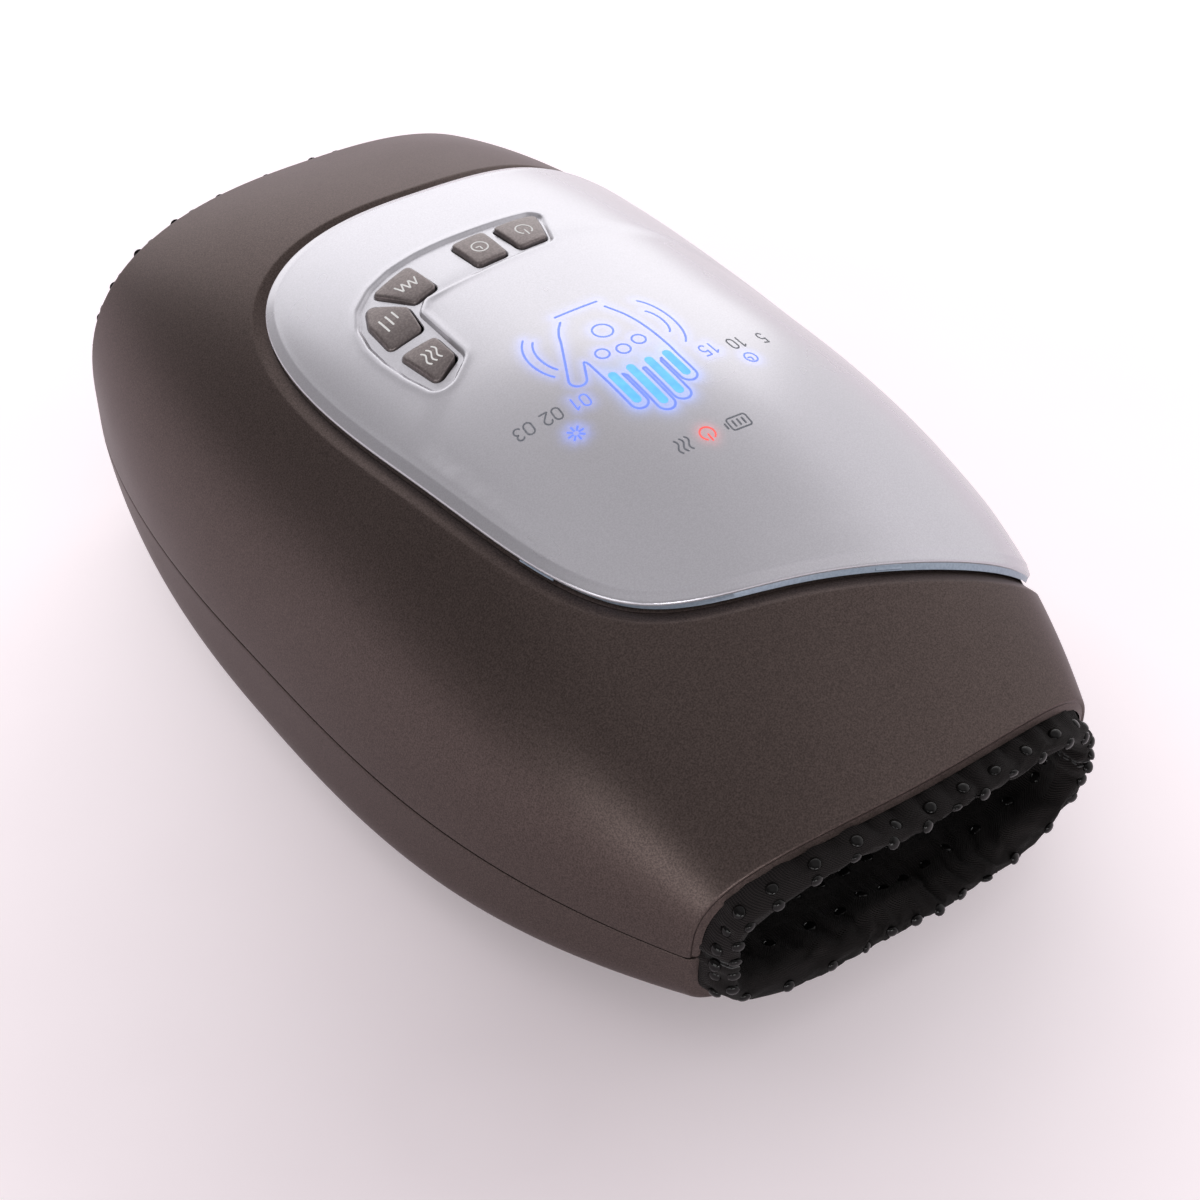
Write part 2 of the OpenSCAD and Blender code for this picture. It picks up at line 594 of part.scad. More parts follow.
module deck_plate() {
    difference() {
        translate([0, 0, deck_z]) plate([-deck_w / 2, deck_w / 2], deck_y, deck_t, 18);
        translate([spigot[0], spigot[1], deck_z - 1]) cylinder(d = hose_d + 1, h = deck_t + 2);
        translate([lower_hose_hole_x, lower_hose_y, deck_z - 1]) cylinder(d = hose_d + 3, h = deck_t + 2);
    }
}
module display_posts() {
    intersection() {
        at_display() translate([-display_w / 2 - 5, -5, -board_t - 60])
            cube([display_w + 10, display_l + 10, 60]);
        union() {
            for (x = [-display_post_x, display_post_x]) for (y = display_post_ys)
                translate([x, y, deck_top - 0.5]) cylinder(r = display_post_r, h = 40);
        }
    }
}
module deck() {
    color("#3a3d42") difference() {
        union() {
            deck_plate();
            display_posts();
            for (x = key_post_xs) for (y = key_post_ys) board_post(x, y, key_board_z, post_r);
            for (x = main_post_xs) for (y = main_post_ys) board_post(x, y, main_z, post_r);
            for (sx = [-1, 1]) for (y = leg_ys)
                translate([sx * leg_x, y, leg_foot]) cylinder(r = leg_r, h = deck_z - leg_foot + 0.5);
        }
        for (sx = [-1, 1]) for (y = leg_ys)
            translate([sx * leg_x, y, leg_foot - 1]) cylinder(r = pilot_r, h = leg_screw_l + 1);
    }
}
module deck_screws() {
    color("#8c8f94") for (sx = [-1, 1]) for (y = leg_ys)
        translate([sx * leg_x, y, leg_head_z]) screw(screw_d, leg_screw_l + leg_foot - leg_head_z - 2);
}
board_screw_l = 5;
module board_screw(x, y, top) {
    translate([x, y, top]) rotate([180, 0, 0]) screw(small_screw_d, board_screw_l);
}
module board_screws() {
    color("#8c8f94") {
        for (x = key_post_xs) for (y = key_post_ys) board_screw(x, y, key_board_z + board_t);
        for (x = main_post_xs) for (y = main_post_ys) board_screw(x, y, main_z + board_t);
    }
}

// Display: a board of lights under a guide with one window for each sign
module display_board() {
    color("#1f5c3a") at_display() translate([0, 0, -board_t])
        plate([-display_w / 2, display_w / 2], [0, display_l], board_t);
}
digit_w = 7;
guide_windows = [[-36, 25], [-27, 25], [-18, 25], [19, 25], [27, 25], [34, 25], [-27, 32], [26, 32],
    [-9, 50], [0, 50], [7, 50]];
hand_window = [26, 44];
module light_guide() {
    color("#f1f1ee") difference() {
        at_display() plate([-guide_w / 2, guide_w / 2], [0, display_l], guide_t);
        at_display() translate([-hand_window[0] / 2, 1.5, -1]) cube([hand_window[0], hand_window[1], guide_t + 2]);
        for (w = guide_windows)
            at_display() translate([w[0] * 0.93 - digit_w / 2, w[1] - 0.5, -1]) cube([digit_w - 1, 5.5, guide_t + 2]);
    }
}
module display_leds() {
    color("#d8ecff") at_display() {
        for (w = guide_windows) translate([w[0] * 0.93 - 2, w[1] + 1, 0]) cube([3, 2, 0.8]);
        for (x = [-8, 0, 8]) for (y = [8, 20, 32]) translate([x - 1.5, y, 0]) cube([3, 2, 0.8]);
    }
}

// Main board
module main_board() {
    color("#1f5c3a") difference() {
        translate([0, 0, main_z]) plate(main_xs, main_ys, board_t);
        for (x = main_post_xs) for (y = main_post_ys)
            translate([x, y, main_z - 1]) cylinder(r = small_hole_r, h = board_t + 2);
    }
}
// Chips: place of the corner, then size
chips = [[-2, -50, 10, 10, 1.6], [-6, -30, 6, 5, 1.5], [18, -34, 8, 8, 3], [18, -48, 6, 5, 1.5],
    [-8, -44, 4, 12, 5]];
capacitor_at = [30, -44];
capacitor_d = 6.3;
capacitor_h = 7;
module main_chips() {
    top = main_z + board_t;
    color("#26272b") {
        for (c = chips) translate([c[0], c[1], top]) cube([c[2], c[3], c[4]]);
        translate([capacitor_at[0], capacitor_at[1], top]) cylinder(d = capacitor_d, h = capacitor_h);
    }
}
buzzer_at = [10, -22];
buzzer_d = 12;
buzzer_h = 8;
buzzer_port_d = 2;
module buzzer() {
    color("#1c1c1e") translate([buzzer_at[0], buzzer_at[1], main_z + board_t]) difference() {
        cylinder(d = buzzer_d, h = buzzer_h);
        translate([0, 0, buzzer_h - 1]) cylinder(d = buzzer_port_d, h = 2);
    }
}

// Battery: two cells side by side in a holder on the deck
battery_x = 1;
battery_y = key_board_y[1] + 0.6 + holder_wall;
cell_gap = 0.4;
cell_z = deck_top + holder_wall + cell_d / 2;
function cell_x(k) = battery_x + cell_d / 2 + k * (cell_d + cell_gap);
module battery_cells() {
    color("#2f6fb0") for (k = [0, 1])
        translate([cell_x(k), battery_y, cell_z]) rotate([-90, 0, 0]) cylinder(d = cell_d, h = cell_l);
}
module battery_holder() {
    wide = 2 * cell_d + cell_gap;
    color("#2b2d31") difference() {
        translate([battery_x, battery_y - holder_wall, deck_top])
            cube([wide, cell_l + 2 * holder_wall, cell_d / 2 + holder_wall]);
        for (k = [0, 1]) translate([cell_x(k), battery_y - 0.1, cell_z]) rotate([-90, 0, 0])
            cylinder(d = cell_d + 0.2, h = cell_l + 0.2);
    }
}

// Charging socket on a bracket under the deck's edge, behind the slot in the side wall
socket_l = 7.5;
socket_w = 8.9;
socket_h = 3.2;
socket_x = wall + 0.5 - width_at(port_y / half_l, port_z + socket_h / 2);
charge_z = port_z - socket_h / 2 - board_t;
bracket_t = 2;
bracket_x = -5 - bore_w / 2;
bracket_w = 24;
charge_board_x = socket_x + 4;
module charge_socket() {
    color("#b9bcc1") difference() {
        translate([socket_x + socket_l / 2, port_y, port_z]) rotate([90, 0, 90])
            linear_extrude(socket_l, center = true)
            polygon(rounded([[-socket_w / 2, -socket_h / 2], [socket_w / 2, -socket_h / 2],
                [socket_w / 2, socket_h / 2], [-socket_w / 2, socket_h / 2]], socket_h / 2 - 0.1));
        translate([socket_x - 1, port_y - socket_w / 2 + 1, port_z - socket_h / 2 + 0.4])
            cube([socket_l - 1, socket_w - 2, socket_h - 0.8]);
    }
}
module charge_board() {
    color("#1f5c3a") translate([charge_board_x, port_y - 9, charge_z])
        cube([bracket_x - bracket_t - charge_board_x, 18, board_t]);
}
module socket_bracket() {
    color("#3a3d42") {
        translate([bracket_x - bracket_t, port_y - bracket_w / 2, charge_z - bracket_t])
            cube([bracket_t, bracket_w, deck_z - charge_z + bracket_t]);
        translate([socket_x + 5, port_y - bracket_w / 2, charge_z - bracket_t])
            cube([bracket_x - socket_x - 5 - bracket_t / 2, bracket_w, bracket_t]);
    }
}

// Air pump: motor, head with its crank, and the rubber cradle under the motor
fit_gap = 0.05;
crank_d = 14;
crank_t = 4;
crank_throw = 4;
crank_front = 1.5;
shaft_in = 12;
cavity_l = 10;
cavity_d = head_w - 5;
nipple_r = 1.7;
nipple_l = 4;
nipple_z = pump_z - 7;
module at_pump(y = 0) {
    translate([pump_x, pump_y + y, pump_z]) rotate([-90, 0, 0]) children();
}
module pump_motor() {
    color("#9a9da3") difference() {
        union() {
            at_pump(-motor_l) cylinder(d = motor_d, h = motor_l);
            at_pump(-motor_l - 1.5) cylinder(d = 9, h = 2);
        }
        at_pump(-shaft_in - 1) cylinder(r = shaft_d / 2 + fit_gap, h = shaft_in + 2);
    }
}
module pump_head() {
    color("#d9dadd") {
        difference() {
            translate([pump_x - head_w / 2, pump_y, pump_z - head_w / 2]) cube([head_w, head_l, head_w]);
            at_pump(-1) cylinder(d = cavity_d, h = cavity_l + 1);
        }
        translate([pump_x, pump_y + head_l - 0.5, nipple_z]) rotate([-90, 0, 0])
            cylinder(r = nipple_r, h = nipple_l + 0.5);
    }
}
module pump_crank() {
    color("#c0a24c") {
        at_pump(-shaft_in) cylinder(d = shaft_d, h = shaft_in + crank_front + 1);
        at_pump(crank_front) cylinder(d = crank_d, h = crank_t);
        at_pump(crank_front + crank_t - 0.5) translate([crank_throw, 0, 0]) cylinder(d = 3, h = 3.5);
    }
}
module pump_cradle() {
    saddle_w = motor_d + 3;
    saddle_l = motor_l - 7;
    color("#2c2c2e") difference() {
        translate([pump_x - saddle_w / 2, pump_y - motor_l + 3, deck_top])
            cube([saddle_w, saddle_l, pump_z - deck_top - motor_d * 0.15]);
        at_pump(-motor_l) cylinder(r = motor_d / 2 + fit_gap, h = motor_l);
    }
}

// Valve block with one filling and one releasing solenoid valve
coil_d = 12;
coil_h = 8.5;
plunger_gap = 0.08;
plunger_proud = 1.8;
plunger_sunk = 0.5;
valve_mid = (valve_x[0] + valve_x[1]) / 2;
coil_ys = [17, 36];
module valve_block() {
    color("#d9dadd") difference() {
        union() {
            translate([valve_x[0], valve_y[0], deck_top])
                cube([valve_x[1] - valve_x[0], valve_y[1] - valve_y[0], valve_h]);
            translate([pump_x, valve_y[0] + 0.5, nipple_z]) rotate([90, 0, 0])
                cylinder(r = nipple_r, h = nipple_l + 0.5);
            translate([valve_x[0] + 0.5, lower_hose_y, nipple_z]) rotate([0, -90, 0])
                cylinder(r = nipple_r, h = nipple_l + 0.5);
            translate([spigot[0], spigot[1], deck_z]) cylinder(d = hose_d, h = deck_t + 1);
        }
        for (y = coil_ys) translate([valve_mid, y, valve_z - plunger_sunk - plunger_travel - clear])
            cylinder(r = plunger_d / 2 + plunger_gap, h = 10);
    }
}
module valve_coils() {
    color("#3b6ea5") for (y = coil_ys) translate([valve_mid, y, valve_z]) difference() {
        cylinder(d = coil_d, h = coil_h);
        translate([0, 0, -1]) cylinder(r = plunger_d / 2 + plunger_gap, h = coil_h + 2);
    }
}
module plunger(y) {
    color("#8c8f94") translate([valve_mid, y, valve_z - plunger_sunk])
        cylinder(d = plunger_d, h = coil_h + plunger_sunk + plunger_proud);
}
module fill_plunger() { plunger(coil_ys[0]); }
module release_plunger() { plunger(coil_ys[1]); }

// Air bags over and under the hand, and the heating sheet under the upper bag
bag_ys = [-58, 60];
bag_steps = 8;
bag_turn = 27;
heater_ys = [-46, 50];
function grid(ys, steps, from, to, turns) = [for (i = [0:steps])
    [for (j = [0:turns]) [(ys[0] + (ys[1] - ys[0]) * i / steps) / half_l,
        squeeze(from + (to - from) * j / turns, (bore_top - bore_floor) / bore_w)]]];
function wide_turn(t) = squeeze(t, bore_w / (bore_top - bore_floor));
module upper_air_bag() {
    cells = grid(bag_ys, bag_steps, wide_turn(bag_turn), wide_turn(180 - bag_turn), 12);
    low = [for (row = cells) [for (q = row) bore_point(q[0], q[1], skin + heater_t + 4 * clear)]];
    high = [for (row = low) [for (p = row) [p[0], p[1], min(deck_z - clear, p[2] + bag_room)]]];
    color("#6f7d8c") slab(high, low);
}
module lower_air_bag() {
    cells = grid(bag_ys, bag_steps, wide_turn(180 + bag_turn), wide_turn(360 - bag_turn), 12);
    high = [for (row = cells) [for (q = row) bore_point(q[0], q[1], skin + clear)]];
    low = [for (row = high) [for (p = row) [p[0], p[1], belly(p[0], p[1], wall + clear)]]];
    color("#6f7d8c") slab(low, high);
}
module heating_sheet() {
    cells = grid(heater_ys, bag_steps, wide_turn(bag_turn + 6), wide_turn(174 - bag_turn), 12);
    function face(e) = [for (row = cells) [for (q = row) bore_point(q[0], q[1], e)]];
    color("#b5622f") slab(face(skin + 2 * clear + heater_t), face(skin + 2 * clear));
}

// Air hoses: a short one from the pump, and one down the side to the lower air bag
hose_sides = 8;
lower_hose_z = 9;
lower_hose_end = bore_point(lower_hose_y / half_l, 180 + bag_turn, skin + clear);
// The hose's bend keeps this far from the middle of the housing
lower_hose_bend = body_w / 2 - 16;
lower_hose_route = [[valve_x[0] - nipple_l - clear, lower_hose_y, nipple_z],
    [lower_hose_hole_x + 4.5, lower_hose_y, nipple_z], [lower_hose_hole_x + 0.5, lower_hose_y, deck_z + 7],
    [lower_hose_hole_x - 0.5, lower_hose_y, deck_z - 4], [2 - lower_hose_bend, lower_hose_y, deck_z - 18],
    [-lower_hose_bend, lower_hose_y, seam_mid + 4.5], [2 - lower_hose_bend, lower_hose_y, seam_mid - 9.5],
    [10 - lower_hose_bend, lower_hose_y, lower_hose_z + 4], [18 - lower_hose_bend, lower_hose_y, lower_hose_z],
    [lower_hose_end[0] - clear, lower_hose_y, lower_hose_z]];
function route_ring(pts, i) =
    let (a = pts[max(i - 1, 0)], b = pts[min(i + 1, len(pts) - 1)], along = unit(b - a), up = [0, 1, 0],
        side = unit(cross(along, up)))
    [for (k = [0:hose_sides - 1]) let (q = 360 * k / hose_sides)
        pts[i] + hose_d / 2 * (cos(q) * up - sin(q) * side)];
module hose(route) {
    pts = smooth_line(route, 3);
    rings = [for (i = [0:len(pts) - 1]) route_ring(pts, i)];
    capped_solid(pts[0], rings, pts[len(pts) - 1]);
}
module air_hoses() {
    color("#e6e6e2") {
        translate([pump_x, pump_y + head_l, nipple_z]) rotate([-90, 0, 0]) difference() {
            cylinder(d = hose_d, h = valve_y[0] - pump_y - head_l);
            translate([0, 0, -1]) cylinder(r = nipple_r + fit_gap, h = 40);
        }
        hose(lower_hose_route);
    }
}

// Lining: a fabric tube whose ends are rolled out over soft padding at both mouths
mouth_gap = 1.4;
roll_t = lip_depth - wall - mouth_gap;
roll_back = 7;
// The roll stands out further at the finger end, so that both ends reach equally far
finger_more = 1.25;
lining_sides = 32;
roll_steps = 6;
tube_places = [-0.93, -0.8, -0.65, -0.5, -0.32, 0, 0.32, 0.5, 0.65, 0.8, 0.93];
function lining_point(y, e, t) =
    let (v = max(-1, min(1, y / half_l)))
    bore_point(v, t, e, y - v * half_l);
function mouth_ratio(y) = y > 0 ? 0.45 : 0.6;
function around(y, k) = squeeze(k, mouth_ratio(y));
function roll_out(end) = lip_out + (end > 0 ? finger_more : 0);
function roll_place(end, a) = [end * (half_l - 1 + (roll_out(end) + 1) * cos(a)), roll_t / 2 * (1 + sin(a))];
lining_profile = concat(
    [for (v = tube_places) [v * half_l, 0]],
    [for (k = [0:roll_steps]) roll_place(1, -90 + 180 * k / roll_steps)],
    [[half_l - roll_back, roll_t], [half_l - roll_back - 1.5, skin]],
    [for (k = [len(tube_places) - 2:-1:1]) [tube_places[k] * half_l, skin]],
    [[-half_l + roll_back + 1.5, skin], [-half_l + roll_back, roll_t]],
    [for (k = [roll_steps:-1:0]) roll_place(-1, -90 + 180 * k / roll_steps)]);
function lining_ring(p) =
    [for (j = [0:lining_sides - 1]) lining_point(p[0], p[1], around(p[0], 360 * j / lining_sides))];
module fabric_lining() {
    color("#1d1d20") ring_solid([for (p = lining_profile) lining_ring(p)]);
}

// Silicone dots in staggered rows, on both rolls and just inside the tunnel
// Each row is a place in the lining's profile, and a shift of none or half a step
dot_sunk = 0.2;
dot_rows = [[9, 1], [10, 0], [12, 1], [14, 0], [33, 0], [35, 1], [37, 0], [0, 1]];
module dot(p, n) {
    translate(p - dot_sunk * n) rotate([0, acos(n[2]), atan2(n[1], n[0])])
        cylinder(d1 = dot_d, d2 = dot_d * 0.6, h = dot_h + dot_sunk, $fn = 16);
}
module dot_row(here, next, shifted) {
    for (j = [0:lining_sides - 1]) {
        k = (j + 1) % lining_sides;
        n = unit(cross(next[k] - here[j], next[j] - here[k]));
        dot(shifted ? (here[j] + next[j]) / 2 : (here[j] + next[k]) / 2, n);
    }
}
module silicone_dots() {
    profile_n = len(lining_profile);
    color("#0e0e10") for (row = dot_rows)
        dot_row(lining_ring(lining_profile[row[0]]), lining_ring(lining_profile[(row[0] + 1) % profile_n]),
            row[1] == 1);
}

// Collars that hold the lining behind each mouth
collar_sides = 40;
collar_gap = 2;
collar_back = 10.5;
function collar_ring(v, outside) = [for (j = [0:collar_sides - 1])
    let (t = squeeze(360 * j / collar_sides, 0.6))
    outside ? skin_point(v, t, wall + collar_gap) : bore_point(v, t, skin + 2 * clear)];
module collar(end) {
    v0 = end * (half_l - collar_back - (end > 0 ? collar_w : 0)) / half_l;
    v1 = end * (half_l - collar_back - (end > 0 ? 0 : collar_w)) / half_l;
    ring_solid([collar_ring(v0, false), collar_ring(v1, false), collar_ring(v1, true), collar_ring(v0, true)]);
}
module finger_collar() { color("#3a3d42") collar(1); }
module entry_collar() { color("#3a3d42") collar(-1); }

top_shell();
bottom_shell();
cover_panel();
power_key();
timer_key();
mode_key();
intensity_key();
heat_key();
key_board();
key_switches();
deck();
display_board();
light_guide();
display_leds();
main_board();
main_chips();
buzzer();
battery_cells();
battery_holder();
charge_socket();
charge_board();
socket_bracket();
pump_motor();
pump_head();
pump_crank();
pump_cradle();
valve_block();
valve_coils();
fill_plunger();
release_plunger();
air_hoses();
upper_air_bag();
lower_air_bag();
heating_sheet();
fabric_lining();
silicone_dots();
finger_collar();
entry_collar();
rubber_feet();
case_screws();
deck_screws();
board_screws();
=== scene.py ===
# %% [markdown]
# # A hand massager, dressed in Blender
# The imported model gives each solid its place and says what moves. This file gives the same
# object its looks: the smooth housing, the silver panel with its keys and lit signs, and the
# knitted lining. It is read from top to bottom, one cell at a time.

import math

import bmesh
import bpy
import numpy as np
from mathutils import Matrix, Vector
from mathutils.geometry import delaunay_2d_cdt


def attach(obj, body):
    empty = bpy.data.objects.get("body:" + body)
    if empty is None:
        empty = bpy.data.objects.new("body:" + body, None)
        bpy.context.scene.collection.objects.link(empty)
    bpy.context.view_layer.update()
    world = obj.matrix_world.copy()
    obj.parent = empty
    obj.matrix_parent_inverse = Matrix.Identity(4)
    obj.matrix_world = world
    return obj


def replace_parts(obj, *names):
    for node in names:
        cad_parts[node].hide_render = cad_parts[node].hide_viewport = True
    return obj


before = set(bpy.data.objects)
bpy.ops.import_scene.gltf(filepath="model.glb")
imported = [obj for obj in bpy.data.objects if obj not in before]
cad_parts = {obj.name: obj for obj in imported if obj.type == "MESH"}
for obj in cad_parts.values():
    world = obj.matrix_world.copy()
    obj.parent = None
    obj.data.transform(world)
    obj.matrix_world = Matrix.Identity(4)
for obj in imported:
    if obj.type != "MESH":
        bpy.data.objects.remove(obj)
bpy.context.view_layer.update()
scene = bpy.context.scene

# %% [markdown]
# ## The camera
# The camera stands where the photographer stood: in front of the finger end, to one side and
# 40 degrees above the table. It is described by a target, a distance and three angles, because
# those can be read off and changed one at a time. A long lens of 70 mm keeps the shape calm.

# %% Camera
target = Vector((3.60, 14.04, 34.55)) * 0.001
turn, rise, roll = (math.radians(a) for a in (144.01, 40.31, 0.28))
distance = 0.6145
back = Vector((math.sin(turn) * math.cos(rise), -math.cos(turn) * math.cos(rise), math.sin(rise)))
right = Vector((math.cos(turn), math.sin(turn), 0))
above = back.cross(right)
view_right = right * math.cos(roll) + above * math.sin(roll)
view_up = above * math.cos(roll) - right * math.sin(roll)
lens = bpy.data.cameras.new("camera")
lens.sensor_width = 36
lens.lens = 70.335
lens.clip_start, lens.clip_end = 0.05, 20
camera = bpy.data.objects.new("camera", lens)
camera.matrix_world = Matrix.Translation(target + back * distance) @ Matrix(
    (view_right, view_up, back)).transposed().to_4x4()
scene.collection.objects.link(camera)
scene.camera = camera
print("camera at", [round(c, 3) for c in camera.location])

# %% [markdown]
# ## The rule behind the housing
# The housing is a stretched egg whose cross-section changes along its length. A place on it
# is a pair: v runs from -1 at the entry lip to 1 at the finger lip, and t is the angle round
# the section, from 0 at the +X side over 90 at the crown. The same rule, in millimetres, made
# the solids, so each piece made from it fits without any moving.

# %% Sizes along the housing, in millimetres
MM = 0.001
half_l = 132.5
widest_v, widest, finger_w, entry_w = -25 / half_l, 88, 60, 73.5
wall = 2.5
seam_gap = 0.4
panel_t, panel_proud, panel_gap = 2.4, 1.2, 0.8
panel_low = panel_t - panel_proud
ledge_w, clear = 4.5, 0.3


def swell(v, v0, mid, finger, entry, finger_power=2.0, entry_power=2.0):
    """A size that is mid at v0 and changes to finger and entry at the two lips."""
    v = np.asarray(v, float)
    ahead = np.clip((v - v0) / (1 - v0), 0, None) ** finger_power
    behind = np.clip((v0 - v) / (1 + v0), 0, None) ** entry_power
    return mid + (finger - mid) * ahead + (entry - mid) * behind


def half_w(v): return swell(v, widest_v, widest, finger_w, entry_w, 2.86, 2.29)
def crown(v): return swell(v, 0, 114.5, 63, 95, 2.2, 2.7)
def keel(v): return swell(v, 0, 2, 15, 10)
def waist(v): return swell(v, 0, 27, 37, 43.5)
def seam(v): return swell(v, 0, 33.5, 35, 28.5)
def roundness(v): return swell(v, 0, 2.2, 3, 2.55)


belly_round = 5.8
print("half widths at the entry, in the middle and at the finger end:", half_w([-1, 0, 1]).round(1))

# %% [markdown]
# Each section across the housing is a superellipse, an oval with fuller corners. The half above
# its widest height and the half below have heights and powers of their own. Loops could be drawn
# by hand at a few places instead, but a rule gives a point, and the direction of the skin there,
# at any place.

# %% A section, and places on the skin
def turned(t):
    return np.cos(np.radians(t)), np.sin(np.radians(t))


def section(hw, up, down, mid, e_up, e_down, t):
    """A place on a superellipse with its own height and power above and below the waist."""
    c, s = turned(t)
    reach = np.where(s >= 0, up, down)
    power = np.where(s >= 0, e_up, e_down)
    r = ((np.abs(c) / hw) ** power + (np.abs(s) / reach) ** power) ** (-1 / power)
    return r * c, mid + r * s


lean_finger, lean_entry, bow_finger, bow_entry, lip_mid = 0.08, -0.03, 6.2, 2.7, 37


def station(v, x, z):
    """How far along Y a place lies. Both lips lean a little and bow out in the middle."""
    ahead = lean_finger * (z - lip_mid) - bow_finger * (x / finger_w) ** 2
    behind = lean_entry * (z - lip_mid) - bow_entry * (x / entry_w) ** 2
    return v * half_l + v * v * np.where(v > 0, ahead, behind)


def skin_point(v, t, d=0.0):
    """A point of the skin, or of a face that lies d millimetres inside it."""
    v, t = np.broadcast_arrays(np.asarray(v, float), np.asarray(t, float))
    x, z = section(half_w(v) - d, crown(v) - waist(v) - d, waist(v) - keel(v) - d, waist(v),
                   roundness(v), belly_round, t)
    return np.stack([x, station(v, x, z), z], -1)


def unit(a):
    return a / np.linalg.norm(a, axis=-1, keepdims=True)


def along_of(v, t): return skin_point(v + 0.004, t) - skin_point(v - 0.004, t)
def cross_of(v, t): return skin_point(v, t + 0.5) - skin_point(v, t - 0.5)
def skin_normal(v, t): return unit(np.cross(along_of(v, t), cross_of(v, t)))


def squeeze(q, ratio):
    """Turns an angle round a circle into the angle round an oval that is ratio times as high."""
    c, s = turned(q)
    return q + (np.degrees(np.arctan2(ratio * s, c)) - q + 1620) % 360 - 180


def angle_at(v, z):
    """The angle t of the section at which its side reaches a height."""
    h = z - waist(v)
    power = np.where(h > 0, roundness(v), belly_round)
    reach = np.where(h > 0, crown(v) - waist(v), waist(v) - keel(v))
    return np.degrees(np.arctan2(h, half_w(v) * (1 - (np.abs(h) / reach) ** power) ** (1 / power)))


print("crown height", skin_point(0, 90).round(2), "widest", skin_point(widest_v, 0).round(2))

# %% [markdown]
# ## From points to pieces
# Most shells here are bands of rings: many closed rings with the same number of points, each
# joined to the next by four-sided faces. When the last ring joins the first, the band is a
# closed solid with an outside, an inside and real thickness. Sharp edges are found by angle,
# and everything else is shaded smooth.

# %% Pieces, bands and shading
def piece(name, points, faces, finish=None, crease=40):
    mesh = bpy.data.meshes.new(name)
    mesh.from_pydata((np.asarray(points, float).reshape(-1, 3) * MM).tolist(), [], faces)
    obj = bpy.data.objects.new(name, mesh)
    scene.collection.objects.link(obj)
    settle(obj, crease)
    if finish is not None:
        mesh.materials.append(finish)
    return obj


def settle(obj, crease=40):
    """Turns all faces outwards and shades them smooth between sharp edges."""
    work = bmesh.new()
    work.from_mesh(obj.data)
    bmesh.ops.recalc_face_normals(work, faces=work.faces)
    work.to_mesh(obj.data)
    work.free()
    obj.data.shade_smooth()
    obj.data.set_sharp_from_angle(angle=math.radians(crease))


def band(count, n, closed=True, start=0):
    """Faces between rings of n points: ring after ring, and the last to the first if closed."""
    i = np.arange(count if closed else count - 1)[:, None]
    j = np.arange(n)[None, :]
    i2, j2 = (i + 1) % count, (j + 1) % n
    quads = np.stack([i * n + j, i * n + j2, i2 * n + j2, i2 * n + j], -1)
    return (quads.reshape(-1, 4) + start).tolist()


print("a band of 3 rings of 4 points has", len(band(3, 4)), "faces")

# %% [markdown]
# Round posts, wells and feet are turned, as on a lathe: a profile of radius and height goes
# round an axis. A Boolean then adds such a solid to a shell or takes it away, and a plain mesh
# stays behind.

# %% Turned solids and Booleans
def lathe(profile, centre, steps=40):
    """Turns a closed profile of (radius, height) pairs about an upright axis."""
    turns = np.arange(steps) * 2 * np.pi / steps
    points = [[centre[0] + r * math.cos(a), centre[1] + r * math.sin(a), centre[2] + h]
              for r, h in profile for a in turns]
    return points, band(len(profile), steps, closed=False) + [
        list(range(steps)), list(range((len(profile) - 1) * steps, len(profile) * steps))]


def joined(parts):
    """Several sets of points and faces as one set."""
    points, faces = [], []
    for p, f in parts:
        faces += [[k + len(points) for k in face] for face in f]
        points += list(p)
    return points, faces


def carve(obj, parts, how):
    """Adds or takes away solids with a Boolean, and leaves a plain mesh."""
    tool = piece("tool", *joined(parts))
    change = obj.modifiers.new("carve", "BOOLEAN")
    change.operation, change.solver, change.object = how, "MANIFOLD", tool
    shape = bpy.data.meshes.new_from_object(obj.evaluated_get(bpy.context.evaluated_depsgraph_get()))
    obj.modifiers.clear()
    before, obj.data = obj.data, shape
    shape.name = obj.name
    bpy.data.meshes.remove(before)
    bpy.data.objects.remove(tool)
    obj.data.shade_smooth()
    obj.data.set_sharp_from_angle(angle=math.radians(40))


print("a turned post of 4 rings has", len(lathe([(0, 0), (1, 0), (1, 2), (0, 2)], (0, 0, 0))[1]), "faces")

# %% [markdown]
# ## Finishes
# Each finish is a small tree of nodes round one Principled shader. Patterns read Object
# coordinates, in metres, so a scale of 2000 means grains half a millimetre apart. Numbers that
# are the same all over are set on the shader itself, and a texture only drives what varies.

# %% Nodes and links
def socket_value(shader, **values):
    for key, value in values.items():
        shader.inputs[key.replace("_", " ").title().replace("Ior", "IOR")].default_value = value


def new_finish(name, colour, roughness, metallic=0.0, **more):
    mat = bpy.data.materials.new(name)
    mat.use_nodes = True
    shader = mat.node_tree.nodes["Principled BSDF"]
    socket_value(shader, base_color=(*colour, 1), roughness=roughness, metallic=metallic, **more)
    return mat, shader


def add(mat, kind, **settings):
    node = mat.node_tree.nodes.new(kind)
    for key, value in settings.items():
        if key in node.bl_rna.properties:
            setattr(node, key, value)
        else:
            node.inputs[key].default_value = value
    return node


def link(mat, a, out, b, into):
    mat.node_tree.links.new(a.outputs[out], b.inputs[into])


def two_tones(mat, dark, light, low=0.0, high=1.0):
    """A ramp from one colour to another."""
    ramp = add(mat, "ShaderNodeValToRGB")
    for tone, place, colour in zip(ramp.color_ramp.elements, (low, high), (dark, light)):
        tone.position, tone.color = place, (*colour, 1)
    return ramp

# %% [markdown]
# Few real surfaces are even. Speckle changes the colour, grain raises tiny bumps and wander
# changes the gloss, each with a noise of its own size. Pictures could do the same, but a noise
# has no edges and no repeats.

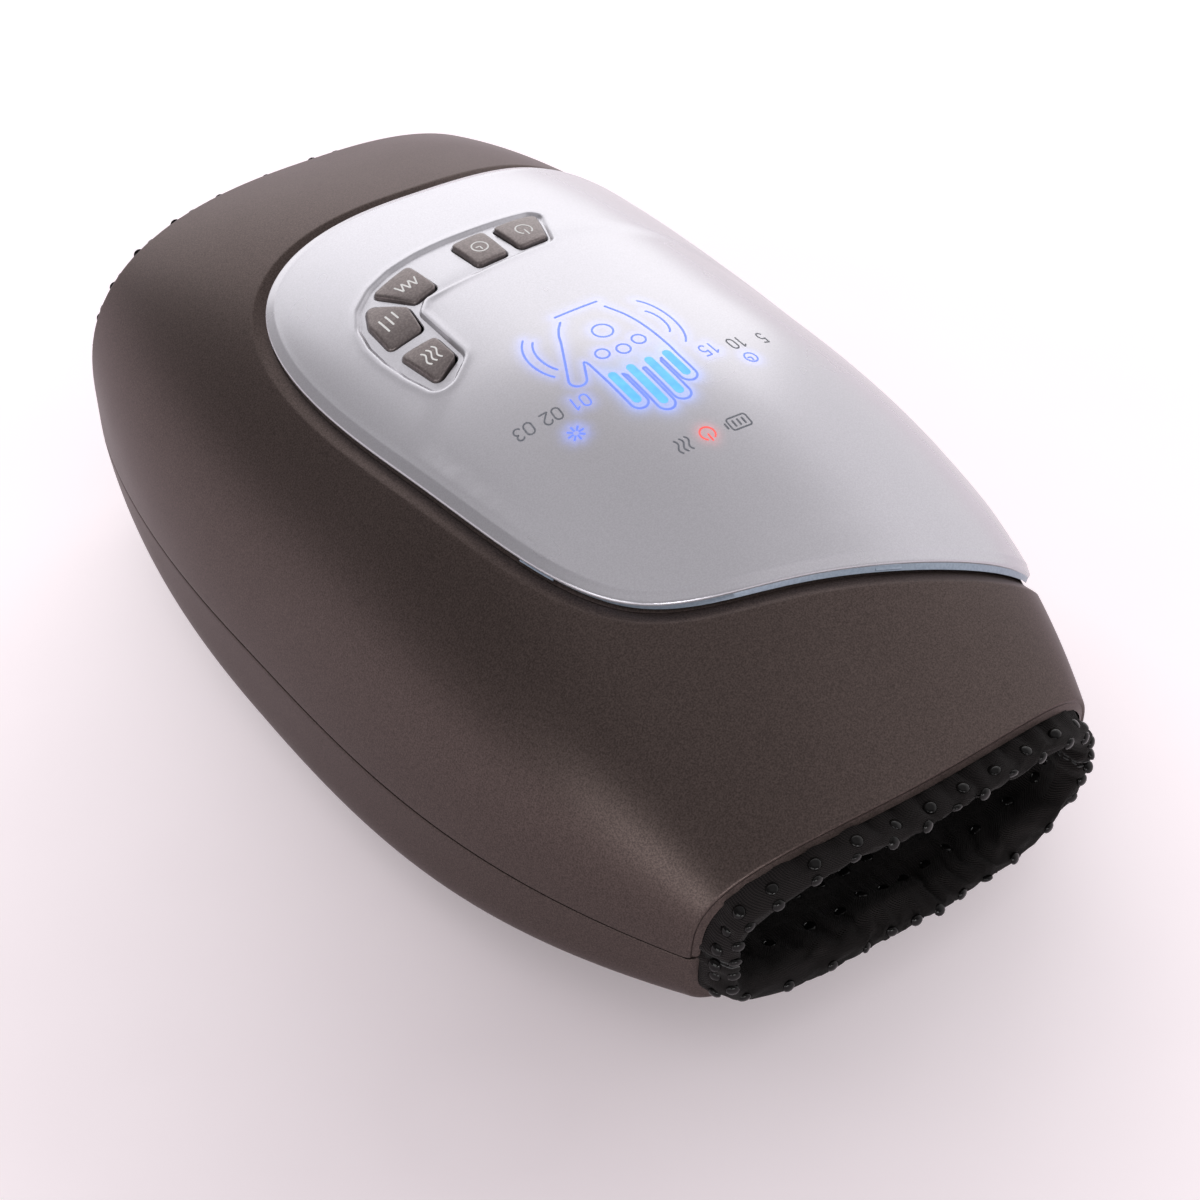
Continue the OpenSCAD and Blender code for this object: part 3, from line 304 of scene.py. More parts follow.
# %% Patterns of a surface
def noise_over(mat, scale, detail=2.0):
    """A noise that reads the Object coordinates."""
    where = add(mat, "ShaderNodeTexCoord")
    noise = add(mat, "ShaderNodeTexNoise", Scale=scale, Detail=detail)
    link(mat, where, "Object", noise, "Vector")
    return noise


def speckle(mat, shader, dark, light, scale, detail=2.0, low=0.35, high=0.65, into="Base Color"):
    """Colour that wanders between two tones with a noise."""
    ramp = two_tones(mat, dark, light, low, high)
    link(mat, noise_over(mat, scale, detail), "Fac", ramp, "Fac")
    link(mat, ramp, "Color", shader, into)


def grain(mat, shader, scale, strength, distance):
    """Fine relief in the surface from a noise."""
    bump = add(mat, "ShaderNodeBump", Strength=strength, Distance=distance)
    link(mat, noise_over(mat, scale), "Fac", bump, "Height")
    link(mat, bump, "Normal", shader, "Normal")


def wander(mat, shader, scale, low, high):
    """Gloss that varies a little from place to place, as on handled plastic."""
    span = add(mat, "ShaderNodeMapRange")
    span.inputs["To Min"].default_value, span.inputs["To Max"].default_value = low, high
    link(mat, noise_over(mat, scale, 3.0), "Fac", span, "Value")
    link(mat, span, "Result", shader, "Roughness")


# %% [markdown]
# The housing is moulded plastic with a dark bronze-grey pearl lacquer. Pearl lacquer is tiny
# flakes under a satin coat: a fine noise changes the tone from flake to flake, and the part
# metallic shader makes the broad soft highlights. The panel has the same lacquer in silver.

# %% Lacquers of the housing and the panel
housing_grey, shader = new_finish("housing_grey", (0.07, 0.052, 0.048), 0.4, 0.62, specular_ior_level=0.45,
                                   specular_tint=(0.72, 0.66, 0.67, 1))
speckle(housing_grey, shader, (0.050, 0.037, 0.0335), (0.102, 0.076, 0.069), 2600, 2.0, 0.34, 0.68)
wander(housing_grey, shader, 60, 0.36, 0.41)
grain(housing_grey, shader, 2600, 0.12, 0.00004)

panel_silver, shader = new_finish("panel_silver", (0.54, 0.53, 0.57), 0.27, 0.6, specular_ior_level=0.5)
speckle(panel_silver, shader, (0.515, 0.508, 0.545), (0.575, 0.567, 0.608), 2600, 2.0, 0.36, 0.66)
wander(panel_silver, shader, 45, 0.24, 0.29)
grain(panel_silver, shader, 2600, 0.06, 0.00003)
print("lacquers:", housing_grey.name, panel_silver.name)

# %% [markdown]
# The outline of the panel is a closed line on the skin. It is a smooth curve drawn towards ten
# poles, because a pole can be moved without making a kink. The same outline shapes the opening
# of the upper shell, so the gap between the two is even all round.

# %% Places in the outline of the panel
def curve(a, b, c, d, u):
    return ((1 - u) ** 3 * a + (3 * u ** 3 - 6 * u * u + 4) * b
            + (-3 * u ** 3 + 3 * u * u + 3 * u + 1) * c + u ** 3 * d) / 6


def smooth_loop(poles, steps):
    poles = np.asarray(poles, float)
    return np.array([curve(poles[i], *(poles[(i + k) % len(poles)] for k in (1, 2, 3)), k / steps)
                     for i in range(len(poles)) for k in range(steps)])


panel_poles = [[-0.668, 133], [-0.551, 99.5], [-0.657, 42.5], [0.174, 52.5], [0.634, 51],
               [0.649, 85], [0.8, 146], [0.74, 165], [0.302, 162], [-0.302, 157]]
outline = smooth_loop(panel_poles, 48)
around_panel = len(outline)
spot = skin_point(outline[:, 0], outline[:, 1])
rim_normal = skin_normal(outline[:, 0], outline[:, 1])
rim_along = unit(np.roll(spot, -1, 0) - np.roll(spot, 1, 0))
rim_outward = unit(np.cross(rim_normal, rim_along))
if np.dot(rim_outward[0], spot[0] - skin_point(0, 100)) < 0:
    rim_outward = -rim_outward


def moved(out):
    """The outline moved out over the skin by a distance, as pairs (v, t)."""
    v, t = outline[:, 0], outline[:, 1]
    a, c = along_of(v, t) / 0.008, cross_of(v, t)
    w = rim_outward * out
    aa, ac, cc = (a * a).sum(1), (a * c).sum(1), (c * c).sum(1)
    wa, wc = (w * a).sum(1), (w * c).sum(1)
    det = aa * cc - ac * ac
    return np.stack([v + (wa * cc - wc * ac) / det, t + (wc * aa - wa * ac) / det], 1)


def rim_at(out, up):
    place = moved(out)
    return skin_point(place[:, 0], place[:, 1]) + up * rim_normal


print("outline of the panel:", around_panel, "points,",
      round(float(np.linalg.norm(np.roll(spot, -1, 0) - spot, axis=1).sum())), "mm round")

# %% [markdown]
# ## The upper shell
# The real shell is one moulding with a large opening for the panel, a sloping shoulder that
# leads down to the gap, and a ledge for the panel to lie on. Rings run from the opening out to
# the shell's own border, so the faces follow the opening exactly and its edge stays clean.
# The border is rounded by a quarter circle of rings, then the rings go back along the inside.

# %% Border of the upper shell
seam_turn = math.degrees(seam_gap / 2 / widest)


def top_angle(v):
    return angle_at(v, seam(v)) + seam_turn


def flat_place(q):
    return np.stack([q[..., 0], (q[..., 1] - 90) / (90 - top_angle(q[..., 0]))], -1)


heart = flat_place(np.array([0.1, 105.0]))
ray = flat_place(outline) - heart
reach = np.minimum(*np.abs(np.where(ray > 0, (1 - heart) / ray, (-1 - heart) / ray)).T)
border = heart + reach[:, None] * ray
for corner in ((1, 1), (1, -1), (-1, 1), (-1, -1)):
    border[np.argmin(np.linalg.norm(border - corner, axis=1))] = corner


def on_housing(b, d=0.0):
    return skin_point(b[:, 0], 90 + b[:, 1] * (90 - top_angle(b[:, 0])), d)


print("border of the upper shell:", on_housing(border).min(0).round(1), on_housing(border).max(0).round(1))

# %% [markdown]
# Each ring is a blend between two closed lines, the opening and the border. The list of the
# shoulder says how far out each ring near the opening lies, and how far below the skin. A
# Boolean could cut the opening out of a whole shell instead, but the faces along its edge would
# then be ragged.

# %% Rings of the upper shell
shoulder = [(4.7, 0), (4.4, -0.03), (4.1, -0.13), (3.75, -0.31), (3.1, -0.67), (2.4, -1.06), (1.6, -1.5),
            (1.1, -1.74), (0.88, -1.83), (panel_gap, -1.95), (-ledge_w, -1.95), (-ledge_w, -4.3), (4.6, -4)]
start = flat_place(moved(shoulder[0][0]))
edge = on_housing(border)
edge_normal = unit(np.cross(on_housing(border * [0.999, 1]) - edge, on_housing(border * [1, 0.999]) - edge))
edge_normal *= np.sign((edge_normal * (edge - [0, 0, 40])).sum(1))[:, None]
edge_along = unit(np.roll(edge, -1, 0) - np.roll(edge, 1, 0))
edge_out = unit(np.cross(edge_along, edge_normal))
edge_out *= np.sign((edge_out * (edge - on_housing(start + (border - start) * 0.9))).sum(1))[:, None]
lip_round = np.where(np.abs(border[:, 0]) > 0.9999, 0.9, 0.2)[:, None]
rings = [on_housing(start + (border - start) * k ** 1.2) for k in np.linspace(0.975, 0, 44)]
rings += [rim_at(out, up) for out, up in shoulder[1:]]
rings += [on_housing(start + (border - start) * k ** 1.2, wall) for k in np.linspace(0.03, 0.97, 16)]
inner_edge = on_housing(border, wall)
rings += [inner_edge - 0.3 * edge_out, inner_edge + 0.1 * edge_normal]
for a in np.radians(np.linspace(90, 0, 6)):
    rings.append(edge - lip_round * (edge_out + edge_normal)
                 + lip_round * (edge_out * math.sin(a) + edge_normal * math.cos(a)))
top_housing = piece("top_housing", np.array(rings), band(len(rings), around_panel), housing_grey, 30)
print("upper shell:", len(rings), "rings", [round(c, 1) for c in np.array(rings).reshape(-1, 3).min(0)])

# %% [markdown]
# Inside the shell stand four bosses for the case screws, and the side has a slot for the
# charging plug. Bosses are added and holes are taken away with Booleans, because the shell is
# already a closed solid and a drilled hole is exactly what a Boolean difference is.

# %% Bosses and the charging slot of the upper shell
boss_x, boss_r, pilot_r, seam_mid, boss_top = 76.0, 4.4, 1.55, 33.5, 50.0
boss_places = [(x, y + (22 if x < 0 else 0)) for x in (-boss_x, boss_x) for y in (-45.0, 15.0)]


def width_at(v, z):
    return half_w(v) * (1 - ((z - waist(v)) / (crown(v) - waist(v))) ** roundness(v)) ** (1 / roundness(v))


def block(low, high):
    """A box between its lowest and highest corner."""
    x, y, z = zip(low, high)
    points = [[x[i], y[j], z[k]] for i in (0, 1) for j in (0, 1) for k in (0, 1)]
    return points, [[0, 1, 3, 2], [4, 6, 7, 5], [0, 4, 5, 1], [2, 3, 7, 6], [0, 2, 6, 4], [1, 5, 7, 3]]


boss_h = boss_top - seam_mid
boss_profile = [(pilot_r, 0.4), (boss_r, 0.4), (boss_r, boss_h - 0.6), (boss_r - 0.6, boss_h),
                (0.01, boss_h), (0.01, 12.5), (pilot_r, 12)]
posts = [lathe(boss_profile, (x, y, seam_mid)) for x, y in boss_places]
for x, y in boss_places:
    reach_out = float(width_at(y / half_l, boss_top)) - wall * 0.6
    near, far = abs(x) + boss_r - 0.4, reach_out
    low_x, high_x = (near, far) if x > 0 else (-far, -near)
    if far > near:
        posts.append(block((low_x, y - 1, seam_mid + 0.4), (high_x, y + 1, boss_top - 2)))
print("bosses and ribs of the upper shell:", len(posts))

# %% [markdown]
# The slot for the charging plug is a short channel with round ends that widens towards the
# outside. Its cutter is a band of five rings with one rounded outline. The bosses are added one
# at a time, because a Boolean copes better with solids that don't touch each other.

# %% Add the bosses, cut the slot
def rounded(pts, r, steps=5):
    """A polygon in plan whose corners are arcs of radius r."""
    pts = np.asarray(pts, float)
    out = []
    for i, b in enumerate(pts):
        u, w = unit(pts[i - 1] - b), unit(pts[(i + 1) % len(pts)] - b)
        half = math.acos(float(np.clip(u @ w, -1, 1))) / 2
        hub = b + unit(u + w) * r / math.sin(half)
        first, last = (math.atan2(*(b + k * r / math.tan(half) - hub)[::-1]) for k in (u, w))
        swing = (last - first + 3 * math.pi) % (2 * math.pi) - math.pi
        for k in range(steps + 1):
            a = first + swing * k / steps
            out.append(hub + r * np.array([math.cos(a), math.sin(a)]))
    return np.array(out)


port_y, port_z, port_half_w, port_half_h, port_r = 2.0, 48.0, 4.7, 1.8, 1.78


def slot_ring(x, more):
    w, h = port_half_w + more, port_half_h + more
    upright = rounded([[-w, -h], [w, -h], [w, h], [-w, h]], port_r + more, 8)
    return [[x, port_y + a, port_z + b] for a, b in upright]


side_x = -float(width_at(port_y / half_l, port_z))
slot_rings = [slot_ring(side_x - 4, 2.6), slot_ring(side_x + 0.1, 0.5), slot_ring(side_x + 0.6, 0.12),
              slot_ring(side_x + 1.0, 0), slot_ring(side_x + 6, 0)]
n = len(slot_rings[0])
slot_tool = (sum(slot_rings, []), band(5, n, closed=False) + [list(range(n)), list(range(4 * n, 5 * n))])
for post in posts:
    carve(top_housing, [post], "UNION")
carve(top_housing, [slot_tool], "DIFFERENCE")
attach(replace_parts(top_housing, "top_shell"), "housing")
print("upper shell after carving:", len(top_housing.data.polygons), "faces")

# %% [markdown]
# ## The lower shell
# It is a tray of the same lacquered plastic. Sections across the housing follow one another
# from lip to lip. Each section is a closed loop: along the outside, round the thin upper edge,
# and back along the inside. The last few sections at each end shrink round a quarter circle,
# which gives the lip the soft edge of a moulding.

# %% Sections of the lower shell
low_steps, lip_r, edge_r = 150, 0.9, 0.2


def low_section(v, d):
    ratio = (waist(v) - keel(v)) / half_w(v)
    first, last = (float(squeeze(q, 1 / ratio)) for q in (180 - angle_at(v, seam(v)) + seam_turn,
                                                          360 + angle_at(v, seam(v)) - seam_turn))
    turns = squeeze(first + (last - first) * np.linspace(0, 1, low_steps + 1), ratio)
    outer, inner = skin_point(v, turns, d), skin_point(v, turns, wall)
    across = unit(inner[0] - outer[0]), unit(inner[-1] - outer[-1])
    down = unit(outer[1] - outer[0]), unit(outer[-2] - outer[-1])
    soft = [[corner + edge_r * (across[k] * (1 - math.cos(a)) + down[k] * (1 - math.sin(a)))
             for a in np.radians([0, 30, 60, 90])] for k, corner in enumerate((outer[0], outer[-1]))]
    return np.concatenate([soft[0], outer[1:-1], soft[1][::-1], inner[::-1]])


ends = [(1 - lip_r * (1 - math.sin(a)) / half_l, lip_r * (1 - math.cos(a)))
        for a in np.radians([0, 18, 36, 54, 72, 90])]
sections = [(-v, d) for v, d in ends[::-1]] + [(v, 0.0) for v in np.linspace(-0.988, 0.988, 121)] + ends
loops = np.array([low_section(v, d) for v, d in sections])
k, m = loops.shape[1], loops.shape[0]
bottom_housing = piece("bottom_housing", loops, band(m, k, closed=False), housing_grey, 30)
print("lower shell:", m, "sections of", k, "points")

# %% [markdown]
# The band is still open at its two ends. Faces between the outer and the inner line of the wall
# close it, because a Boolean needs a closed solid. The number of open edges that is printed has
# to be none.

# %% Close the ends of the lower shell
work = bmesh.new()
work.from_mesh(bottom_housing.data)
work.verts.ensure_lookup_table()
for base in (0, (m - 1) * k):
    for j in range(k // 2 - 1):
        a, b = base + j, base + j + 1
        c, d = base + k - 2 - j, base + k - 1 - j
        if len({a, b, c, d}) == 4:
            work.faces.new([work.verts[i] for i in (a, b, c, d)])
    if (k // 2) * 2 != k:
        a = base + k // 2
        work.faces.new([work.verts[i] for i in (a - 1, a, a + 1)])
bmesh.ops.triangulate(work, faces=[f for f in work.faces if len(f.verts) > 4])
work.to_mesh(bottom_housing.data)
work.free()
settle(bottom_housing, 30)
work = bmesh.new()
work.from_mesh(bottom_housing.data)
print("open edges of the lower shell:", sum(not e.is_manifold for e in work.edges))
work.free()

# %% [markdown]
# Eight screws go up through wells in the floor, and four round seats hold the feet. The bosses
# grow out of a curved floor, so each starts inside its thickness. All of them are turned solids
# that are added or taken away, as in the upper shell.

# %% Bosses, screw wells and seats for the feet
def belly(x, y):
    """Height of the underside over a point in plan."""
    v = y / half_l
    share = (1 - (abs(x) / half_w(v)) ** belly_round) ** (1 / belly_round)
    return float(waist(v) - (waist(v) - keel(v)) * share)


def plug(steps, x, y):
    """A turned solid on its own axis, from steps of (radius, height)."""
    return lathe([(0.01, steps[0][1]), *steps, (0.01, steps[-1][1])], (x, y, 0))


leg_r, leg_top, foot_r, foot_depth = 4, 12, 6.7, 1.2
case_head_z, deck_head_z, head_r, hole_r, below = 12, 9, 3.3, 1.7, -1
leg_places = [(x, y) for x in (-64.5, 64.5) for y in (-45.0, 45.0)]
foot_places = [(x, y) for x in (-48.0, 48.0) for y in (-72.0, 66.0)]
for spots, r, top in ((boss_places, boss_r, seam_mid - seam_gap), (leg_places, leg_r, leg_top)):
    for x, y in spots:
        carve(bottom_housing, [plug([(r, belly(abs(x) + r, y) + 0.6), (r, top)], x, y)], "UNION")
wells = [plug([(head_r, below), (head_r, seat), (hole_r, seat), (hole_r, top)], x, y)
         for spots, seat, top in ((boss_places, case_head_z, 36), (leg_places, deck_head_z, 14))
         for x, y in spots]
wells += [plug([(foot_r, below), (foot_r, belly(x, y) + foot_depth)], x, y) for x, y in foot_places]
for well in wells:
    carve(bottom_housing, [well], "DIFFERENCE")
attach(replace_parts(bottom_housing, "bottom_shell"), "housing")
print("lower shell after carving:", len(bottom_housing.data.polygons), "faces")

# %% [markdown]
# ## The cover panel
# The panel is a thin silver moulding that follows the crown and wraps down one side. Its rim
# has a rounded edge and a narrow sloping band, the keys sit in an L-shaped recess, and a soft
# crease frames the display field. No grid fits all of these lines, so the panel is triangulated
# like a map: every line that matters is drawn flat, a Delaunay triangulation fills the rest,
# and each point is then lifted on to the crown. Its height above the crown is the sum of the
# profiles of the rim, the recess and the crease.

# %% From plan to the crown
def roof(x, y, d=0.0):
    v = np.asarray(y, float) / half_l
    n = roundness(v)
    return waist(v) + (crown(v) - waist(v) - d) * (1 - (np.abs(x) / (half_w(v) - d)) ** n) ** (1 / n)


def in_plan(x, y, d=-panel_proud):
    """The place (v, t) on the crown that lies over a point in plan."""
    x, y = np.asarray(x, float), np.asarray(y, float)
    v = y / half_l
    for _ in range(6):
        n, up = roundness(v), crown(v) - waist(v) - d
        h = up * np.clip(1 - (np.abs(x) / (half_w(v) - d)) ** n, 1e-6, None) ** (1 / n)
        v = v + (y - station(v, x, waist(v) + h)) / half_l
    return np.stack([v, np.degrees(np.arctan2(h, x))], -1)


print("the crown over the middle is", float(roof(0, 0).round(2)), "mm high")

# %% [markdown]
# Lines on the panel are closed loops of points. They are spread evenly, pushed outwards or
# inwards along their own sides, and asked how far away a point is. That distance is what every
# profile of the relief is built on.

# %% Loops in plan
def even(loop, count):
    """A closed polyline with its points spread evenly."""
    loop = np.asarray(loop, float)
    shut = np.vstack([loop, loop[:1]])
    run = np.concatenate([[0], np.cumsum(np.linalg.norm(np.diff(shut, axis=0), axis=1))])
    at = np.linspace(0, run[-1], count, endpoint=False)
    return np.stack([np.interp(at, run, shut[:, k]) for k in (0, 1)], 1)


def pushed(loop, out):
    """A loop in plan moved outwards along its own normals."""
    step = unit(np.roll(loop, -1, 0) - np.roll(loop, 1, 0))
    area = (loop[:, 0] * np.roll(loop[:, 1], -1) - loop[:, 1] * np.roll(loop[:, 0], -1)).sum()
    return loop + out * math.copysign(1, area) * np.stack([step[:, 1], -step[:, 0]], 1)


def inside(pts, loop):
    a, b = loop, np.roll(loop, -1, 0)
    x, y = pts[:, :1], pts[:, 1:]
    over = (a[:, 1] > y) != (b[:, 1] > y)
    cut = a[:, 0] + (y - a[:, 1]) / np.where(over, b[:, 1] - a[:, 1], 1) * (b[:, 0] - a[:, 0])
    return (over & (x < cut)).sum(1) % 2 == 1


def signed_gap(pts, loop):
    """Distance from each point to a closed loop, below zero inside it."""
    out = np.empty(len(pts))
    a, b = loop, np.roll(loop, -1, 0)
    ab = b - a
    for k in range(0, len(pts), 4000):
        p = pts[k:k + 4000, None]
        share = np.clip(((p - a) * ab).sum(2) / (ab * ab).sum(1), 0, 1)
        out[k:k + 4000] = np.linalg.norm(p - a - share[..., None] * ab, axis=2).min(1)
    return np.where(inside(pts, loop), -out, out)


square = np.array([[-5.0, -5.0], [5.0, -5.0], [5.0, 5.0], [-5.0, 5.0]])
print("from the middle of a square of 10 mm to its side:", signed_gap(np.zeros((1, 2)), square))

# %% [markdown]
# All lines on the panel are given in plan, in millimetres as seen from above. Keys and recess
# are polygons whose corners become arcs. The display field follows a smooth curve, because its
# crease has no corner.

# %% Outlines of the keys, the recess and the display field, in plan
key_outlines = {
    "power_key": [[-18.9, -46.5], [-4.8, -45.6], [-5.4, -33.5], [-14.4, -34.5]],
    "timer_key": [[-1.8, -45.6], [8.5, -44.9], [8, -32.7], [-1.6, -33.3]],
    "mode_key": [[21.2, -45], [33.9, -42.6], [28, -31.1], [20.5, -32.5]],
    "intensity_key": [[36.8, -40.7], [40.3, -33.5], [41, -22.4], [31.8, -21.5], [30.2, -30.9]],
    "heat_key": [[40.8, -18.6], [39.4, -3.3], [31.7, -6.9], [31.5, -16.6]]}
recess_corners = [
    [-21.5, -48.2], [8, -48.2], [17.5, -48], [25.8, -47.1], [33, -44.9], [38.8, -41], [42.3, -35.2],
    [43.8, -28], [44, -20.5], [43.2, -11], [41.3, -0.6], [37, -0.6], [29.8, -5.6], [29.3, -27],
    [25.6, -30.6], [10, -30.6], [-15, -32.4]]
field_poles = [[-64, -34], [-22, -35], [8, -33], [27, -32], [32, -12], [38, 1], [58, 10], [57, 48], [47, 76],
               [8, 81], [-44, 88], [-70, 84], [-78, 40]]
recess_loop = even(rounded(recess_corners, 3.0), 200)
field_loop = even(smooth_loop(field_poles, 12), 240)


def grown(pts, g):
    pts = np.asarray(pts, float)
    a, c = np.roll(pts, 1, 0), np.roll(pts, -1, 0)
    area = (pts[:, 0] * c[:, 1] - pts[:, 1] * c[:, 0]).sum()
    sign = math.copysign(1, area)
    m = sign * unit(np.stack([(pts - a)[:, 1], -(pts - a)[:, 0]], 1))
    k = sign * unit(np.stack([(c - pts)[:, 1], -(c - pts)[:, 0]], 1))
    return pts + (m + k) * g / (1 + (m * k).sum(1))[:, None]


key_gap, key_round = 0.35, 1.4
hole_loops = [even(rounded(grown(pts, key_gap), key_round + key_gap), 60) for pts in key_outlines.values()]
print("recess:", recess_loop.min(0).round(1), recess_loop.max(0).round(1))

# %% [markdown]
# The relief of the panel is a few gentle steps of about a millimetre at most: a rounded rim, a
# sloping band, a lowered display field and a sunken recess for the keys. Each is a function of
# the distance to its own line. They are added up, so one can be changed without redrawing the
# rest.

# %% Profiles of the panel's relief
def smooth(x, low, high):
    s = np.clip((x - low) / (high - low), 0, 1)
    return s * s * (3 - 2 * s)


edge_round, band_w, band_drop, recess_drop, field_drop = 0.7, 3.2, 0.6, 0.9, 0.4


def relief(inset, recess_gap, field_gap, hole_gap):
    """Height over the crown, from the distances to the rim, the recess, the crease and a hole."""
    arc = np.clip(edge_round - inset, 0, edge_round)
    h = -(edge_round - np.sqrt(edge_round ** 2 - arc ** 2))
    h -= band_drop * (1 - np.clip(inset / band_w, 0, 1))
    h += 0.07 * np.exp(-((inset - band_w) / 0.7) ** 2)
    h -= field_drop * smooth(-field_gap, -3.2, 3.2) * smooth(inset, 5, 14)
    h += 0.14 * np.exp(-((recess_gap - 1.0) / 0.8) ** 2) * (recess_gap > -0.6)
    h -= recess_drop * smooth(-recess_gap, -0.45, 0.55)
    h -= 0.22 * np.clip(1 - hole_gap / 0.22, 0, 1)
    return h


print("relief at the rim", relief(0.0, 9.0, 9.0, 9.0).round(2), "in the recess",
      relief(30.0, -9.0, -9.0, 9.0).round(2))

# %% [markdown]
# The map has close rows of points along each line, where the relief bends, and a wide honeycomb
# of points in between. The display gets a finer honeycomb, because the glow of its signs is
# stored on these points. The map is drawn in the pair (v, t), so the side that wraps down isn't
# lost as it would be from above.

# %% Points and lines of the panel's map
turn_mid, mm_per_degree, side_from = 105, 1.5, 133


def flat(place):
    return np.stack([place[:, 0] * half_l, (place[:, 1] - turn_mid) * mm_per_degree], 1)


places, insets, edges = [], [], []


def add_loop(place, inset):
    first = sum(len(p) for p in places)
    places.append(place)
    insets.append(np.full(len(place), np.nan) if inset is None else np.full(len(place), float(inset)))
    edges.extend((first + i, first + (i + 1) % len(place)) for i in range(len(place)))


for inset in (0, 0.05, 0.16, 0.34, 0.6, 1.0, 1.8, 2.5, 2.9, 3.2, 3.5, 4.0, 5.0, 6.4):
    add_loop(moved(-inset), inset)
for out in (3.0, 2.0, 1.4, 1.0, 0.6, 0.3, 0.05, -0.2, -0.45, -0.7):
    add_loop(in_plan(*pushed(recess_loop, out).T), None)
for loop in hole_loops:
    for out in (0, 0.1, 0.24):
        add_loop(in_plan(*pushed(loop, out).T), None)
print("loops of the map:", len(places))

# %% [markdown]
# The space between the lines is filled with a honeycomb of points, which gives even triangles.
# Points close to a line are left out, because the line brings rows of its own, and crowded
# points would make slivers.

# %% Points between the lines
def hex_grid(low, high, step):
    """Points like the cells of a honeycomb, so that the triangles between them are even."""
    rows = np.arange(low[1], high[1], step * 0.866)
    return np.array([(x + (i % 2) * step / 2, y) for i, y in enumerate(rows)
                     for x in np.arange(low[0], high[0], step)])


display_low, display_high = np.array([-46.0, -4.0]), np.array([44.0, 60.0])
coarse = in_plan(*hex_grid((-80, -100), (86, 110), 2.3).T)
wide = hex_grid((-100, 15), (112, 100), 2.3)
side = np.stack([wide[:, 0] / half_l, wide[:, 1] / mm_per_degree + turn_mid], 1)
side = side[side[:, 1] > side_from]
coarse = np.vstack([coarse[coarse[:, 1] <= side_from], side])
spots = skin_point(coarse[:, 0], coarse[:, 1], -panel_proud)[:, :2]
coarse = coarse[~((spots > display_low) & (spots < display_high)).all(1)]
grid = np.vstack([coarse, in_plan(*hex_grid(display_low, display_high, 1.25).T)])
rim_line = flat(moved(-7.6))
grid = grid[inside(flat(grid), rim_line)]
spots = skin_point(grid[:, 0], grid[:, 1], -panel_proud)[:, :2]
near_recess = signed_gap(spots, recess_loop)
near_holes = np.min([signed_gap(spots, loop) for loop in hole_loops], 0)
grid = grid[((near_recess > 3.8) | (near_recess < -1.3)) & (near_holes > 0.9)]
places.append(grid)
insets.append(np.full(len(grid), np.nan))
places = np.vstack(places)
insets = np.concatenate(insets)
print("points of the panel's map:", len(places), "lines:", len(edges))

# %% [markdown]
# The triangulation keeps every drawn line as a row of edges. Triangles outside the rim and
# inside the key holes are dropped, and each point is then lifted straight out of the skin.

# %% Triangulate the map and lift it on to the crown
flat_points, _, triangles, source, _, _ = delaunay_2d_cdt(
    [Vector(p) for p in flat(places)], edges, [], 0, 1e-6, True)
insets = np.array([insets[ids[0]] if ids else np.nan for ids in source])
places = np.array([(p.x / half_l, p.y / mm_per_degree + turn_mid) for p in flat_points])
triangles = np.array(triangles)
plan = skin_point(places[:, 0], places[:, 1], -panel_proud)
middles = np.array([(p.x, p.y) for p in flat_points])[triangles].mean(1)
keep = inside(middles, flat(moved(0.0)))
for loop in hole_loops:
    keep &= ~inside(middles, flat(in_plan(*loop.T)))
triangles = triangles[keep]
recess_gap = signed_gap(plan[:, :2], recess_loop)
field_gap = signed_gap(plan[:, :2], field_loop)
hole_gap = np.min([np.abs(signed_gap(plan[:, :2], loop)) for loop in hole_loops], 0)
lift = relief(np.where(np.isnan(insets), 30.0, insets), recess_gap, field_gap, hole_gap)
crown_normal = skin_normal(places[:, 0], places[:, 1])
top_face = plan + lift[:, None] * crown_normal
low_face = skin_point(places[:, 0], places[:, 1], panel_low)
print("triangles of the top face:", len(triangles))

# %% [markdown]
# A moulding has real thickness, so the sheet gets a lower face, and walls along every open edge:
# the rim and the five key holes. An edge is open if only one triangle uses it.

# %% Close the sheet to a solid
def solid_from(top, low, faces):
    """Closes a sheet of triangles to a solid: a lower face, and walls along its open edges."""
    count = len(top)
    rims = {}
    for a, b, c in faces:
        for edge in ((a, b), (b, c), (c, a)):
            rims[edge] = rims.get(edge[::-1], None) is None and edge not in rims
    walls = [[b, a, a + count, b + count] for a, b in rims if (b, a) not in rims]
    under = [[c + count, b + count, a + count] for a, b, c in faces]
    return np.vstack([top, low]), [list(map(int, face)) for face in [*faces, *under, *walls]]


used = np.unique(triangles)
renumber = np.full(len(places), -1)
renumber[used] = np.arange(len(used))
triangles = renumber[triangles]
panel_plan = plan[used]
panel = piece("silver_panel", *solid_from(top_face[used], low_face[used], triangles), panel_silver, 32)
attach(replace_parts(panel, "cover_panel"), "housing")
print("panel:", len(panel.data.polygons), "faces")

# %% [markdown]
# The side wall of the panel is given a blue-grey finish of its own, apart from its top. Four small lugs stand
# out of it, where the mould formed the clips that hold the panel down.

# %% Side wall and lugs of the panel
panel_edge, shader = new_finish("panel_edge", (0.3, 0.36, 0.44), 0.34, 0.5)
speckle(panel_edge, shader, (0.27, 0.325, 0.4), (0.33, 0.39, 0.47), 1500)
grain(panel_edge, shader, 2600, 0.1, 0.00003)
panel.data.materials.append(panel_edge)
for face in panel.data.polygons:
    if len(face.vertices) == 4 and all(v % len(used) < around_panel for v in face.vertices):
        face.material_index = 1

lug_profile = ((-0.6, -0.5), (0.3, -0.5), (0.4, -0.6), (0.4, -1.1), (-0.6, -1.1))
lug_places = ((210, 6), (123, 8), (55, 6), (395, 6))


